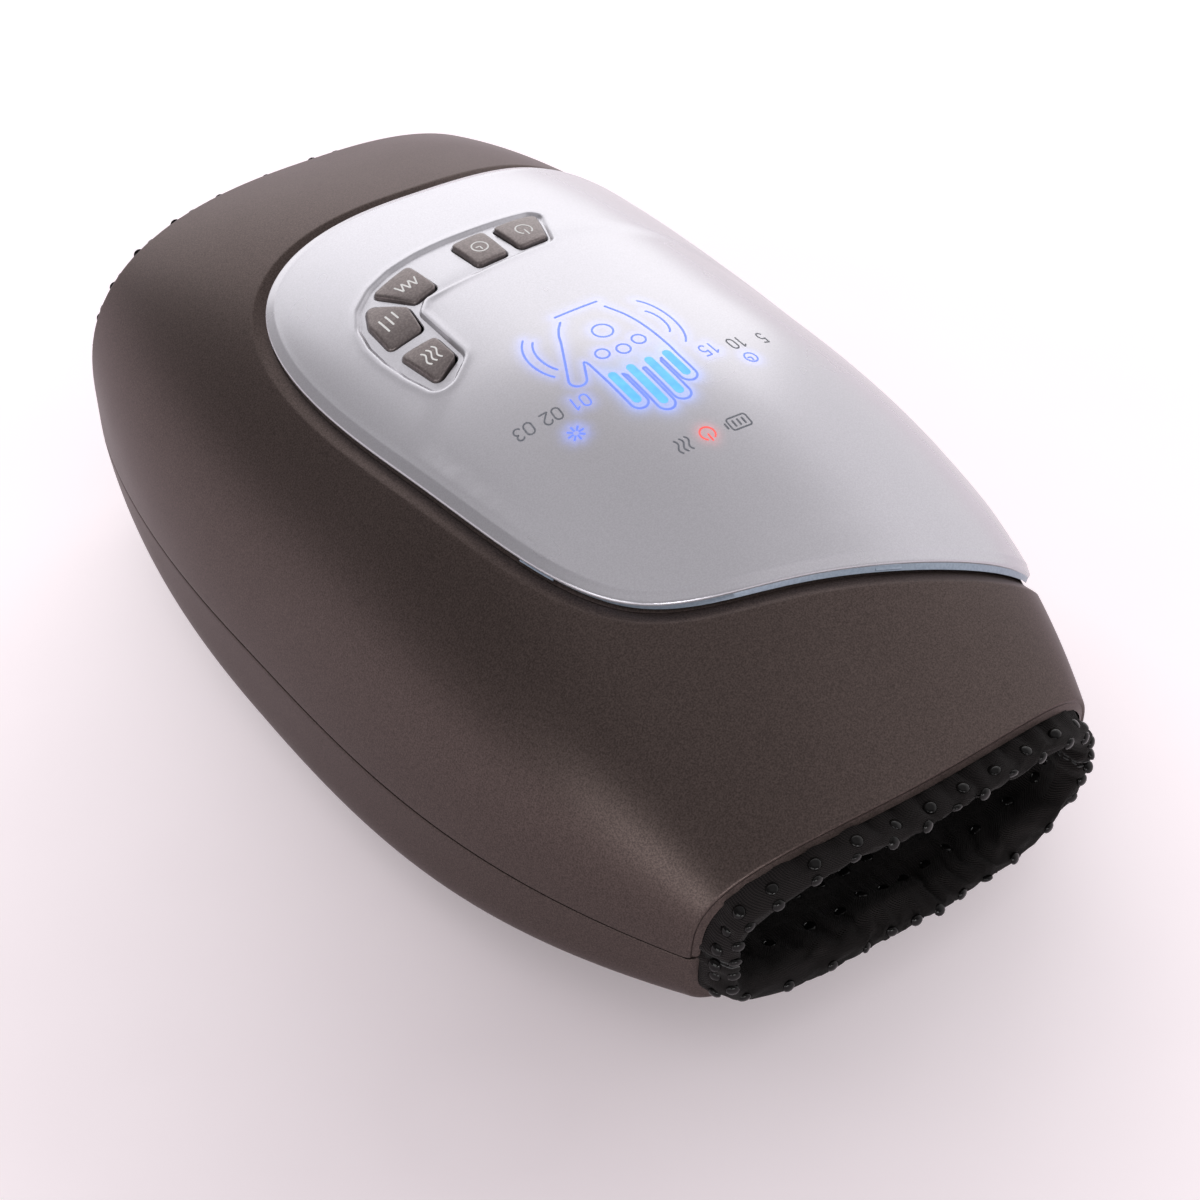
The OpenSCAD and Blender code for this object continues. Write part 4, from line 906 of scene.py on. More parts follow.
def lug(middle, long):
    """A short bar along the rim, between two points of the outline."""
    at = np.arange(middle - long // 2, middle + long // 2 + 1) % around_panel
    points = np.stack([rim_at(out, up)[at] for out, up in lug_profile], 1).reshape(-1, 3)
    n, k = len(at), len(lug_profile)
    return points, band(n, k, closed=False) + [list(range(k)), list(range(k * n - k, k * n))]


lugs = piece("panel_lugs", *joined([lug(*place) for place in lug_places]), panel_edge, 30)
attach(lugs, "housing")
print("lugs:", len(lug_places), "rim faces:", sum(face.material_index for face in panel.data.polygons))

# %% [markdown]
# ## The keys
# Each key is a small dark cap with a gently domed top, a rounded edge, a flange under the
# panel and a stem that reaches its switch. Its outline in plan is one loop of points. Pushing
# that loop out makes the flange, and pulling it in along a quarter circle makes the soft edge.
# Every key rides on its own body, so it moves down when its joint does.

# %% Finish of the keys
key_grey, shader = new_finish("key_grey", (0.18, 0.155, 0.152), 0.33, 0.6, specular_ior_level=0.5)
speckle(key_grey, shader, (0.15, 0.127, 0.125), (0.22, 0.187, 0.184), 1800, 2.0, 0.38, 0.66)
wander(key_grey, shader, 90, 0.3, 0.36)
grain(key_grey, shader, 3000, 0.1, 0.00003)
print("finish of the keys:", len(key_grey.node_tree.nodes), "nodes")

# %% [markdown]
# A key could be a box with bevelled edges, but its outline has four or five uneven corners, and
# its top is part of a sphere that tilts with the panel. So it is built from rings again, from
# the stem over the flange and up to the middle of the dome.

# %% Shape of a key
key_travel, flange, flange_t, dome_r, key_proud, recess_depth = 0.8, 0.8, 1.2, 55.0, 1.3, 0.8


def flange_top(pts):
    ring = grown(pts, flange)
    return float(roof(ring[:, 0], ring[:, 1], panel_low).min()) - clear - 0.1


switch_top = min(flange_top(p) - flange_t - 3 for p in key_outlines.values()) - key_travel - clear


def key_dome(pts):
    """Centre of the key in plan, and the centre of the sphere that domes its top."""
    c = np.mean(pts, 0)
    top = float(roof(c[0], c[1], -panel_proud)) - recess_depth + key_proud
    tilt = math.atan2(float(roof(c[0] - 3, c[1]) - roof(c[0] + 3, c[1])), 6)
    return c, np.array([c[0] - dome_r * math.sin(tilt), c[1], top - dome_r * math.cos(tilt)])


def key_height(pts, x, y):
    hub = key_dome(pts)[1]
    return hub[2] + np.sqrt(dome_r ** 2 - (x - hub[0]) ** 2 - (y - hub[1]) ** 2)


print("tops of the switches at", round(switch_top, 2), "mm")

# %% [markdown]
# Each ring of a key is its outline, pushed out or pulled in, at a height of its own. The stem's
# rings are circles with just as many points, so one band joins them all.

# %% Make the keys
def make_key(name, pts):
    c, _ = key_dome(pts)
    count, fillet = 88, 0.75
    base = even(rounded(pts, key_round, 6), count)
    low = flange_top(pts) - flange_t
    stem_low = switch_top + key_travel + clear
    turns = np.arctan2(base[:, 1] - c[1], base[:, 0] - c[0])
    stem = c + 2 * np.stack([np.cos(turns), np.sin(turns)], 1)

    def ring(loop, z):
        return np.column_stack([loop, np.full(count, z) if np.isscalar(z) else z])

    rings = [ring(c + (stem - c) * 0.02, stem_low), ring(c + (stem - c) * 0.85, stem_low),
             ring(stem, stem_low + 0.3), ring(stem, low)]
    rings += [ring(pushed(base, out), low + up) for out, up in (
        (flange - 0.15, 0), (flange, 0.15), (flange, flange_t - 0.15),
        (flange - 0.15, flange_t), (0.05, flange_t))]
    for a in np.radians([0, 15, 30, 45, 60, 75, 90]):
        loop = pushed(base, -fillet * (1 - math.cos(a)))
        rings.append(ring(loop, key_height(pts, *loop.T) - fillet * 0.8 * (1 - math.sin(a))))
    last = loop
    for share in (0.86, 0.7, 0.5, 0.3, 0.12, 0.01):
        loop = c + (last - c) * share
        rings.append(ring(loop, key_height(pts, *loop.T)))
    m = len(rings)
    faces = band(m, count, closed=False) + [list(range(count)), list(range((m - 1) * count, m * count))]
    cap = piece(name + "_cap", np.array(rings), faces, key_grey, 50)
    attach(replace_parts(cap, name), name)
    return cap


caps = {name: make_key(name, np.array(pts)) for name, pts in key_outlines.items()}
print("keys:", list(caps))

# %% [markdown]
# ## Signs
# The signs are line drawings: strokes of one width with round ends. A stroke is made as a
# ribbon along its path that stands a few hundredths of a millimetre above the surface that
# carries it. White signs are printed on the keys. The signs of the display shine through the
# panel: lit ones give off blue or red light, unlit ones are plain grey print.

# %% Outline of a stroke
def path_of(points, step=0.35, closed=False):
    pts = np.asarray(points, float)
    if closed:
        pts = np.vstack([pts, pts[:1]])
    run = np.concatenate([[0], np.cumsum(np.linalg.norm(np.diff(pts, axis=0), axis=1))])
    at = np.unique(np.concatenate([run, np.linspace(0, run[-1], max(2, int(run[-1] / step)))]))
    at = at[np.concatenate([[True], np.diff(at) > 1e-3])]
    out = np.stack([np.interp(at, run, pts[:, k]) for k in (0, 1)], 1)
    return out[:-1] if closed else out


def arc_path(cx, cy, r, first, last, steps=28, ry=None):
    a = np.radians(np.linspace(first, last, steps))
    return np.stack([cx + r * np.cos(a), cy + (ry or r) * np.sin(a)], 1)


def stroke(points, width, closed=False):
    """Outline of a stroke: left side and right side of its path, with round ends."""
    p = path_of(points, closed=closed)
    step = unit(np.roll(p, -1, 0) - np.roll(p, 1, 0)) if closed else unit(np.gradient(p, axis=0))
    side_way = np.stack([-step[:, 1], step[:, 0]], 1)
    if closed:
        return p + side_way * width / 2, p - side_way * width / 2, True
    ends = []
    for k, way in ((0, -step[0]), (-1, step[-1])):
        bow = [(p[k] + way * math.sin(a) * width / 2, math.cos(a)) for a in np.radians([72, 45, 20])]
        ends.append([(q + side_way[k] * share * width / 2, q - side_way[k] * share * width / 2)
                     for q, share in bow])
    start_rows, end_rows = ends
    lefts = [r[0] for r in start_rows] + list(p + side_way * width / 2) + [r[0] for r in end_rows[::-1]]
    rights = [r[1] for r in start_rows] + list(p - side_way * width / 2) + [r[1] for r in end_rows[::-1]]
    return np.array(lefts), np.array(rights), False


print("a stroke of 10 mm has", len(stroke([[0, 0], [10, 0]], 0.5)[0]), "points a side")

# %% [markdown]
# The two sides of a stroke are laid on the carrying surface and joined by four long faces, so a
# ribbon is a thin closed bar. It reaches down into the surface, which hides its lower edge.

# %% Ribbons on a surface
def ribbons(name, strokes, height, finish, body, up=0.05, down=0.12):
    """Lays strokes on a surface that is given by its height over plan."""
    points, faces = [], []
    for left, right_side, closed in strokes:
        n, base = len(left), len(points)
        for row, dz in ((left, up), (right_side, up), (right_side, -down), (left, -down)):
            points += np.column_stack([row, height(row[:, 0], row[:, 1]) + dz]).tolist()
        for i in range(n if closed else n - 1):
            k = (i + 1) % n
            for a, b in ((0, 1), (1, 2), (2, 3), (3, 0)):
                faces.append([base + a * n + i, base + b * n + i, base + b * n + k, base + a * n + k])
        if not closed:
            faces += [[base + k * n for k in range(4)], [base + k * n + n - 1 for k in range(4)]]
    sign = piece(name, points, faces, finish, 35)
    print(name + ":", len(strokes), "strokes")
    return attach(sign, body)


# %% [markdown]
# The signs are generic line drawings, as on any appliance: numbers, a power ring, a clock, the
# wavy lines of heat, rising bars and a zigzag. They are made of arcs and straight lines. A font
# could draw the numbers, but its outlines carry more detail than a lit sign of 4 mm shows.

# %% Digits and small signs, each about one unit high
def digit(d):
    """The path of a digit, one unit high, and nothing but arcs and straight lines."""
    shapes = {
        "0": [arc_path(0.3, 0.7, 0.3, 0, 180), arc_path(0.3, 0.3, 0.3, 180, 360)],
        "1": [[[0.12, 0.8], [0.36, 1.0], [0.36, 0.0]]],
        "2": [arc_path(0.3, 0.71, 0.29, 170, -35, 20), [[0.02, 0.0], [0.62, 0.0]]],
        "3": [arc_path(0.28, 0.76, 0.24, 150, -80, 16), arc_path(0.28, 0.27, 0.27, 85, -150, 18)],
        "5": [[[0.56, 1.0], [0.1, 1.0], [0.06, 0.52]], arc_path(0.28, 0.3, 0.31, 125, -140, 18)]}
    path = np.vstack(shapes[d])
    return path_of(path, 0.1) if d == "0" else path


def number(word, x, y, high=3.8, width=0.4, tilt=0.0):
    out = []
    slim, advance = 0.86, 0.72
    c, s = math.cos(math.radians(tilt)), math.sin(math.radians(tilt))
    for k, d in enumerate(word):
        p = (digit(d) * [slim, 1] + [k * advance - advance / 2 * len(word) + 0.1, -0.5]) * high
        at = np.stack([x + c * p[:, 0] - s * p[:, 1], y + s * p[:, 0] + c * p[:, 1]], 1)
        out.append(stroke(at, width, d == "0"))
    return out


def power_sign(x, y, r, width):
    return [stroke(arc_path(x, y, r, 125, 415), width), stroke([[x, y + r * 0.15], [x, y + r * 1.15]], width)]


def clock_sign(x, y, r, width):
    return [stroke(arc_path(x, y, r, 0, 360)[:-1], width, True),
            stroke([[x, y + r * 0.6], [x, y], [x + r * 0.5, y]], width)]


def heat_sign(x, y, high, pitch, width):
    wave = np.linspace(-0.5, 0.5, 26)
    sway = 0.3 * pitch * np.sin(wave * 2 * np.pi)
    return [stroke(np.stack([x + k * pitch + sway, y + high * wave], 1), width) for k in (-1, 0, 1)]


def bars_sign(x, y, high, pitch, width):
    return [stroke([[x + k * pitch, y - high / 2], [x + k * pitch, y - high / 2 + high * h]], width)
            for k, h in ((-1, 0.6), (0, 0.8), (1, 1.0))]


def mode_sign(x, y, high, wide, width):
    peaks = [[x + wide * (k / 6 - 0.5), y + high * (0.5 if k % 2 else -0.5)] for k in range(7)]
    return [stroke(peaks, width)]


print("points of the path of a 3:", len(digit("3")))

# %% [markdown]
# The keys are printed in white. The ink is a film on the real object, so each sign is a thin
# ribbon that follows the dome of its key and moves down with it. A picture could carry the print
# too, but it would blur close up.

# %% Print on the keys
print_white, shader = new_finish("print_white", (0.88, 0.88, 0.87), 0.45)
speckle(print_white, shader, (0.84, 0.84, 0.83), (0.92, 0.92, 0.91), 1400)
grain(print_white, shader, 3500, 0.1, 0.00002)
signs = {"power_key": power_sign, "timer_key": clock_sign, "mode_key": mode_sign,
         "intensity_key": bars_sign, "heat_key": heat_sign}
sizes = {"power_key": (2.2, 0.44), "timer_key": (2.15, 0.42), "mode_key": (3.0, 5.8, 0.44),
         "intensity_key": (4.9, 1.9, 0.48), "heat_key": (4.9, 1.5, 0.42)}
for name, pts in key_outlines.items():
    c = np.mean(pts, 0)
    ribbons(name.replace("key", "sign"), signs[name](c[0], c[1], *sizes[name]),
            lambda x, y, p=np.array(pts): key_height(p, x, y), print_white, name, 0.04, 0.1)
print("signs on the keys:", len(signs))

# %% [markdown]
# ## The lit display
# A lamp board under the panel lights its signs. The hand shows which zones press, the numbers
# on the right are the strength and those on the left the minutes, and the row below them shows
# heat, power and charge. Strong blue light also bleeds into the silver lacquer round each lit
# line, which is stored as a soft glow colour on the panel's points.

# %% Finishes of the display
def lit_finish(name, colour, glow, strength, tone):
    """A finish that gives off light, a little uneven as behind a thin lacquer."""
    mat, shader = new_finish(name, colour, 0.4, emission_strength=strength)
    speckle(mat, shader, glow, tone, 420.0, 1.0, 0.3, 0.7, "Emission Color")
    return mat


lit_blue = lit_finish("lit_blue", (0.12, 0.18, 0.6), (0.12, 0.2, 1.0), 0.75, (0.16, 0.27, 1.0))
lit_cyan = lit_finish("lit_cyan", (0.05, 0.2, 0.45), (0.1, 0.42, 1.0), 0.95, (0.14, 0.52, 1.0))
lit_red = lit_finish("lit_red", (0.6, 0.1, 0.1), (1.0, 0.06, 0.05), 0.75, (1.0, 0.12, 0.1))
print_grey, shader = new_finish("print_grey", (0.16, 0.17, 0.2), 0.5)
speckle(print_grey, shader, (0.13, 0.14, 0.17), (0.2, 0.21, 0.24), 1500)
grain(print_grey, shader, 3500, 0.1, 0.00002)


def display_height(x, y):
    place = in_plan(x, y)
    normal = skin_normal(place[:, 0], place[:, 1])
    return skin_point(place[:, 0], place[:, 1], -panel_proud)[:, 2] - field_drop / normal[:, 2]


print("finishes of the display:", [mat.name for mat in (lit_blue, lit_cyan, lit_red, print_grey)])

# %% [markdown]
# The hand is one long line round the palm, the fingers and the thumb, with circles in the palm
# and a filled bar in each finger. The arcs at its sides stand for the squeeze. All fingers come
# from one short rule with their own place, width and height.

# %% The hand sign: a plain palm with four fingers and a thumb
def finger(x, half, low, high):
    return np.vstack([[[x - half, low]], arc_path(x, high - half, half, 180, 0, 14), [[x + half, low]]])


palm_poles = [[-5.6, -3], [-6.4, 1.2], [-8.8, 6], [-10, 12], [-10.4, 18], [-10.4, 24], [-10.4, 30]]
palm_left = smooth_loop(palm_poles, 6)[:24]
thumb_tip = arc_path(15.6, 21.2, 2.2, 152, -28, 14)
heel = [[10.9, 7.6], [9.9, 5.3], [8.3, 2.9], [6.4, 0.9]]
fingers = [finger(-8.0, 2.25, 25.5, 35.5), finger(-2.7, 2.3, 26.5, 40),
           finger(2.7, 2.3, 26.5, 41), finger(8.0, 2.25, 25.5, 37.5)]
hand = np.vstack([palm_left, *fingers, [[10.3, 18.6], [10.45, 17.4], [10.9, 17.0]], thumb_tip, heel])
hand_lines = [stroke(hand, 0.58), stroke([[-6.2, -1.6], [6.2, -1.6]], 0.58)]
for x, y, r in ((-5.4, 17, 1.75), (0, 18.2, 1.75), (5.4, 17, 1.75), (0, 9.6, 2.6)):
    hand_lines.append(stroke(arc_path(x, y, r, 0, 360)[:-1], 0.48, True))
for r in (2.6, 5.2):
    hand_lines.append(stroke(arc_path(-13.0, 13, r, 115, 245, 18, r * 2.1), 0.52))
    hand_lines.append(stroke(arc_path(13.6, 10, r + 2.2, -58, 40, 18, 5.4 + r), 0.52))
finger_bars = [stroke([[x, 24.8], [x, high]], 2.3)
               for x, high in ((-8.0, 32.4), (-2.7, 36.8), (2.7, 37.8), (8.0, 34.4))]
print("lines of the hand:", len(hand_lines), "finger bars:", len(finger_bars))

# %% [markdown]
# Round the hand stand the plain signs: a burst and three strengths on one side, a clock and the
# minutes on the other, and a row of heat, power and charge below. Lines of one colour are one
# piece, because they share a finish. The numbers lean a little, so that their rows look bent
# round the hand.

# %% Signs round the hand
burst_x, burst_y = 25.6, 34.6
burst = [stroke([[burst_x + r * math.cos(a), burst_y + r * math.sin(a)] for r in (0.9, 2.0)], 0.5)
         for a in np.radians(np.arange(0, 360, 45))]
battery = [stroke(rounded([[-12.0, 49.7], [-6.4, 49.7], [-6.4, 53.3], [-12.0, 53.3]], 0.7), 0.42, True),
           stroke([[-5.5, 50.8], [-5.5, 52.2]], 0.5)]
battery += [stroke([[x, 50.7], [x, 52.3]], 0.5) for x in (-10.6, -9.2, -7.8)]
blue_lines = hand_lines + burst
for word, x, y, tilt in (("01", 19.4, 27.5, -6), ("15", -18.6, 27.8, 4)):
    blue_lines += number(word, x, y, tilt=tilt)
blue_lines += clock_sign(-27, 33.6, 1.7, 0.42)
grey_lines = []
for word, x, y, tilt in (("02", 26.9, 26.7, -6), ("03", 34.2, 25.7, -6),
                         ("10", -27.3, 27.6, 4), ("5", -36.2, 26.6, 4)):
    grey_lines += number(word, x, y, tilt=tilt)
grey_lines += heat_sign(7.0, 51.4, 3.8, 1.5, 0.42) + battery
red_lines = power_sign(-0.1, 51.2, 1.9, 0.45)
ribbons("signs_blue", blue_lines, display_height, lit_blue, "housing")
ribbons("bars_cyan", finger_bars, display_height, lit_cyan, "housing", 0.04)
ribbons("signs_red", red_lines, display_height, lit_red, "housing")
ribbons("signs_grey", grey_lines, display_height, print_grey, "housing")
print("lit lines:", len(blue_lines) + len(red_lines) + len(finger_bars), "grey lines:", len(grey_lines))

# %% [markdown]
# Light creeps through the lacquer round each lit line and fades within a few millimetres. Its
# strength at a point of the panel comes from the distance to the nearest line. Lamps under a
# translucent skin would do this by themselves, but slowly and with much noise.

# %% Glow that bleeds into the lacquer
def glow_from(lines, reach_mm):
    dots = np.vstack([(left + right_side) / 2 for left, right_side, _ in lines])
    out = np.zeros(len(panel_plan))
    spots = panel_plan[:, :2]
    close = np.flatnonzero(((spots > display_low - 6) & (spots < display_high + 6)).all(1))
    for k in range(0, len(close), 2000):
        part = close[k:k + 2000]
        gap = np.linalg.norm(panel_plan[part, None, :2] - dots, axis=2).min(1)
        out[part] = np.exp(-(gap / reach_mm) ** 1.5)
    return out


glow = np.zeros((2 * len(panel_plan), 4))
glow[:, 3] = 1
for lines, reach_mm, colour in ((blue_lines, 1.5, (0.10, 0.19, 0.85)), (burst, 1.0, (0.02, 0.06, 0.3)),
                                (finger_bars, 3.0, (0.05, 0.27, 0.85)), (red_lines, 1.3, (0.55, 0.06, 0.06))):
    glow[:len(panel_plan), :3] += glow_from(lines, reach_mm)[:, None] * colour
layer = panel.data.attributes.new("glow", "FLOAT_COLOR", "POINT")
layer.data.foreach_set("color", glow.astype(np.float32).ravel())
source = add(panel_silver, "ShaderNodeAttribute", attribute_name="glow")
shader = panel_silver.node_tree.nodes["Principled BSDF"]
link(panel_silver, source, "Color", shader, "Emission Color")
shader.inputs["Emission Strength"].default_value = 0.42
print("brightest glow:", glow[:, :3].max().round(2))

# %% [markdown]
# ## The lining
# The hand lies in a tube of black ribbed knit. At both mouths the knit is rolled out over soft
# padding and pulled back under the lip of the housing. The tube is one closed surface, made by
# sweeping its profile round the mouth: inside, round the front roll, back along the outside and
# round the other roll. Cloth simulation then lets the two rolls swell and settle, because
# padding that is pushed out by pressure bulges in a way that a swept shape doesn't.

# %% Shape of the hand tunnel
def bore_point(v, t, e=0.0, out=0.0):
    mid = swell(v, 0, 35.5, 37, 43.5, 3, 3)
    half = swell(v, 0, 57, 51.5, 65, 3, 3)
    top = swell(v, 0, 58, 54.5, 86.5, 3, 3)
    bed = swell(v, 0, 13, 23.5, 18.5, 3, 3)
    x, z = section(half + e, top - mid + e, mid - bed + e, mid, swell(v, 0, 3, 3, 2.55, 3, 3),
                   swell(v, 0, 3, belly_round, belly_round, 3, 3), t)
    return np.stack([x, station(v, x, z) + out, z], -1)


def lining_point(y, e, t):
    v = np.clip(y / half_l, -1, 1)
    return bore_point(v, t, e, y - v * half_l)


skin, roll_t, sides = 1.8, 4.8, 224


def roll_place(end, a):
    out, fat = (6.9, 2.9) if end > 0 else (6.1, 2.5)
    return np.stack([end * (half_l - 1 + (out + 1) * np.cos(a)), roll_t / 2 + fat * np.sin(a)], 1)


bow = np.radians(np.linspace(-90, 90, 21))
tube = np.linspace(-127, 127, 76)
out_tube = np.linspace(120, -120, 31)
profile = np.vstack([np.column_stack([tube, 0 * tube]), roll_place(1, bow),
                     [[128.5, roll_t], [126.2, roll_t], [124.6, skin + 1.2], [123.2, skin]],
                     np.column_stack([out_tube, np.full(31, skin)]),
                     [[-123.2, skin], [-124.6, skin + 1.2], [-126.2, roll_t], [-128.5, roll_t]],
                     roll_place(-1, bow[::-1])])
ring_y, ring_e = profile[:, :1], profile[:, 1:]
turns = np.arange(sides)[None, :] * 360 / sides
angles = squeeze(turns + 0 * ring_y, 0.525 - 0.075 * np.clip(ring_y / 60, -1, 1))
print("lining:", len(profile), "rings of", sides)

# %% [markdown]
# Knit that is held only at its ends lies in soft folds along the tunnel. The folds are sine
# waves of different lengths with random shifts, strongest just behind the mouths and absent on
# the rolls. Fine puckers at the mouths show where the knit is gathered.

# %% Folds of the tunnel and puckers at its mouths
rng = np.random.default_rng(7)
theta = np.radians(turns)
folds = np.zeros_like(angles)
for waves, size in ((5, 0.5), (8, 0.42), (13, 0.3), (21, 0.16)):
    phase, drift = rng.uniform(0, 2 * np.pi, 2)
    folds += size * np.sin(waves * theta + phase + 1.4 * np.sin(ring_y / 38 + drift))
in_tube = smooth(np.abs(ring_y), 131, 118)
depth = in_tube * (0.9 + 0.7 * smooth(np.abs(ring_y), 60, 105))
inward = depth * np.clip(0.55 + 0.5 * folds, 0, None) ** 1.3
puckers = 0.16 * np.sin(46 * theta + 2 * np.sin(3 * theta)) * np.exp(-((np.abs(ring_y) - 129) / 5) ** 2)
flat_lining = lining_point(ring_y + 0 * angles, ring_e + 0 * angles, angles)
lining_faces = band(len(profile), sides)
lining_start = lining_point(ring_y + 0 * angles, ring_e + puckers - inward * (ring_e < 0.01), angles)
print("deepest fold:", inward.max().round(2), "mm")

# %% [markdown]
# The knit is nearly black and dull, with ribs about 0.7 mm apart that run into the tunnel. The
# ribs follow the cloth and not the room, so their pattern reads a UV map whose two directions
# are the distance round the mouth and the distance along the profile, both in metres.

# %% Finish of the knit
lining_black, shader = new_finish("lining_black", (0.012, 0.01, 0.01), 0.9, specular_ior_level=0.2,
                                   sheen_weight=0.05, sheen_roughness=0.4)
where = add(lining_black, "ShaderNodeTexCoord")
warp = add(lining_black, "ShaderNodeTexNoise", Scale=60.0, Detail=2.0)
shift = add(lining_black, "ShaderNodeVectorMath", operation="MULTIPLY_ADD")
shift.inputs[1].default_value = (0.0035, 0.0035, 0)
ribs = add(lining_black, "ShaderNodeTexWave", bands_direction="X", Scale=470.0, Distortion=0.6, Detail=1.0)
ribs.inputs["Detail Scale"].default_value = 2.0
rows = add(lining_black, "ShaderNodeTexWave", bands_direction="Y", Scale=640.0, Distortion=0.4, Detail=1.0)
weave = add(lining_black, "ShaderNodeMix", data_type="FLOAT")
weave.inputs["Factor"].default_value = 0.3
bump = add(lining_black, "ShaderNodeBump", Strength=0.9, Distance=0.0002)
# The tone follows the height of the ribs: darker in the grooves between them, which is painted shade, and
# lighter on their tops.
rib_groove_painted_shade = two_tones(lining_black, (0.004, 0.0032, 0.0032), (0.018, 0.0145, 0.0143))
link(lining_black, where, "UV", warp, "Vector")
link(lining_black, warp, "Color", shift, 0)
link(lining_black, where, "UV", shift, 2)
for pattern in (ribs, rows):
    link(lining_black, shift, "Vector", pattern, "Vector")
link(lining_black, ribs, "Fac", weave, "A")
link(lining_black, rows, "Fac", weave, "B")
link(lining_black, weave, "Result", bump, "Height")
link(lining_black, weave, "Result", rib_groove_painted_shade, "Fac")
link(lining_black, rib_groove_painted_shade, "Color", shader, "Base Color")
link(lining_black, bump, "Normal", shader, "Normal")
print("knit:", len(lining_black.node_tree.nodes), "nodes")

# %% [markdown]
# A vertex group holds the tunnel still and frees the rolls, with a soft change between the two. Pressure from
# inside then fills them in eighteen steps. What they move is limited to 1.5 mm, so they keep clear of the
# housing.

# %% Let the rolls swell under pressure
lining = piece("knit_lining", lining_start, lining_faces, lining_black, 60)
held = lining.vertex_groups.new(name="held")
free = smooth(np.abs(ring_y), 119, 127) * np.where((ring_e > skin) & (np.abs(ring_y) < 127.5), 0, 1)
weight = np.repeat(1 - free[:, 0], sides)
for share in np.unique(weight.round(2)):
    held.add(np.flatnonzero(weight.round(2) == share).tolist(), float(share), "REPLACE")
cloth = lining.modifiers.new("cloth", "CLOTH")
knit = cloth.settings
knit.vertex_group_mass = "held"
knit.quality, knit.mass, knit.air_damping = 6, 0.12, 2.0
knit.tension_stiffness = knit.compression_stiffness = knit.shear_stiffness = 12
knit.bending_stiffness = 0.4
knit.use_pressure, knit.uniform_pressure_force = True, 6.0
knit.shrink_min = -0.05
knit.effector_weights.gravity = 0
cloth.collision_settings.use_collision = False
for step in range(1, 19):
    scene.frame_set(step)
swollen = bpy.data.meshes.new_from_object(lining.evaluated_get(bpy.context.evaluated_depsgraph_get()))
got = np.empty(len(swollen.vertices) * 3)
swollen.vertices.foreach_get("co", got)
shifted = got.reshape(lining_start.shape) / MM - lining_start
far = np.linalg.norm(shifted, axis=-1, keepdims=True)
limit = 1.5
settled = lining_start + shifted * np.minimum(1, limit / np.maximum(far, 1e-9))
lining.modifiers.clear()
bpy.data.meshes.remove(swollen)
scene.frame_set(1)
print("rolls moved by", far.mean().round(3), "mm on average, at most", far.max().round(2))

# %% [markdown]
# At both sides of each mouth a seam draws the knit in to a narrow crease, with a slight swell
# beside it. The crease is the sum of two bell curves over the distance from the seam. The UV map
# is measured on the finished shape, so the ribs are equally wide everywhere.

# %% Sew the side seams and fill the rolls
def ring_normals(points):
    a = np.roll(points, -1, 0) - np.roll(points, 1, 0)
    b = np.roll(points, -1, 1) - np.roll(points, 1, 1)
    n = unit(np.cross(a, b))
    return n if (n[10, 0] * (flat_lining[10].mean(0) - points[10, 0])).sum() > 0 else -n


gap_deg = np.minimum(np.abs((turns + 180) % 360 - 180), np.abs(turns - 180))
seam_arc = gap_deg * np.pi / 180 * np.where(ring_y > 0, 30.0, 42.0)
near_mouth = smooth(np.abs(ring_y), 96, 118) * ((ring_e < roll_t - 0.2) | (np.abs(ring_y) > 129))
crease = (0.85 * np.exp(-(seam_arc / 0.9) ** 2) - 0.3 * np.exp(-((seam_arc - 2.4) / 1.2) ** 2)) * near_mouth
normals = ring_normals(settled)
settled = settled - normals * crease[..., None]
normals = ring_normals(settled)
lining.data.vertices.foreach_set("co", (settled * MM).ravel())
lining.data.update()
around_run = np.cumsum(np.linalg.norm(settled - np.roll(settled, 1, 1), axis=2), 1)
along_run = np.cumsum(np.linalg.norm(settled - np.roll(settled, 1, 0), axis=2).mean(1))
uv = np.stack([around_run, np.broadcast_to(along_run[:, None], around_run.shape)], -1).reshape(-1, 2) * MM
loops_at = np.empty(len(lining.data.loops), int)
lining.data.loops.foreach_get("vertex_index", loops_at)
lining.data.uv_layers.new(name="UVMap").data.foreach_set("uv", uv[loops_at].ravel())
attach(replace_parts(lining, "fabric_lining"), "housing")
print("lining from", settled.reshape(-1, 3).min(0).round(1), "to", settled.reshape(-1, 3).max(0).round(1))
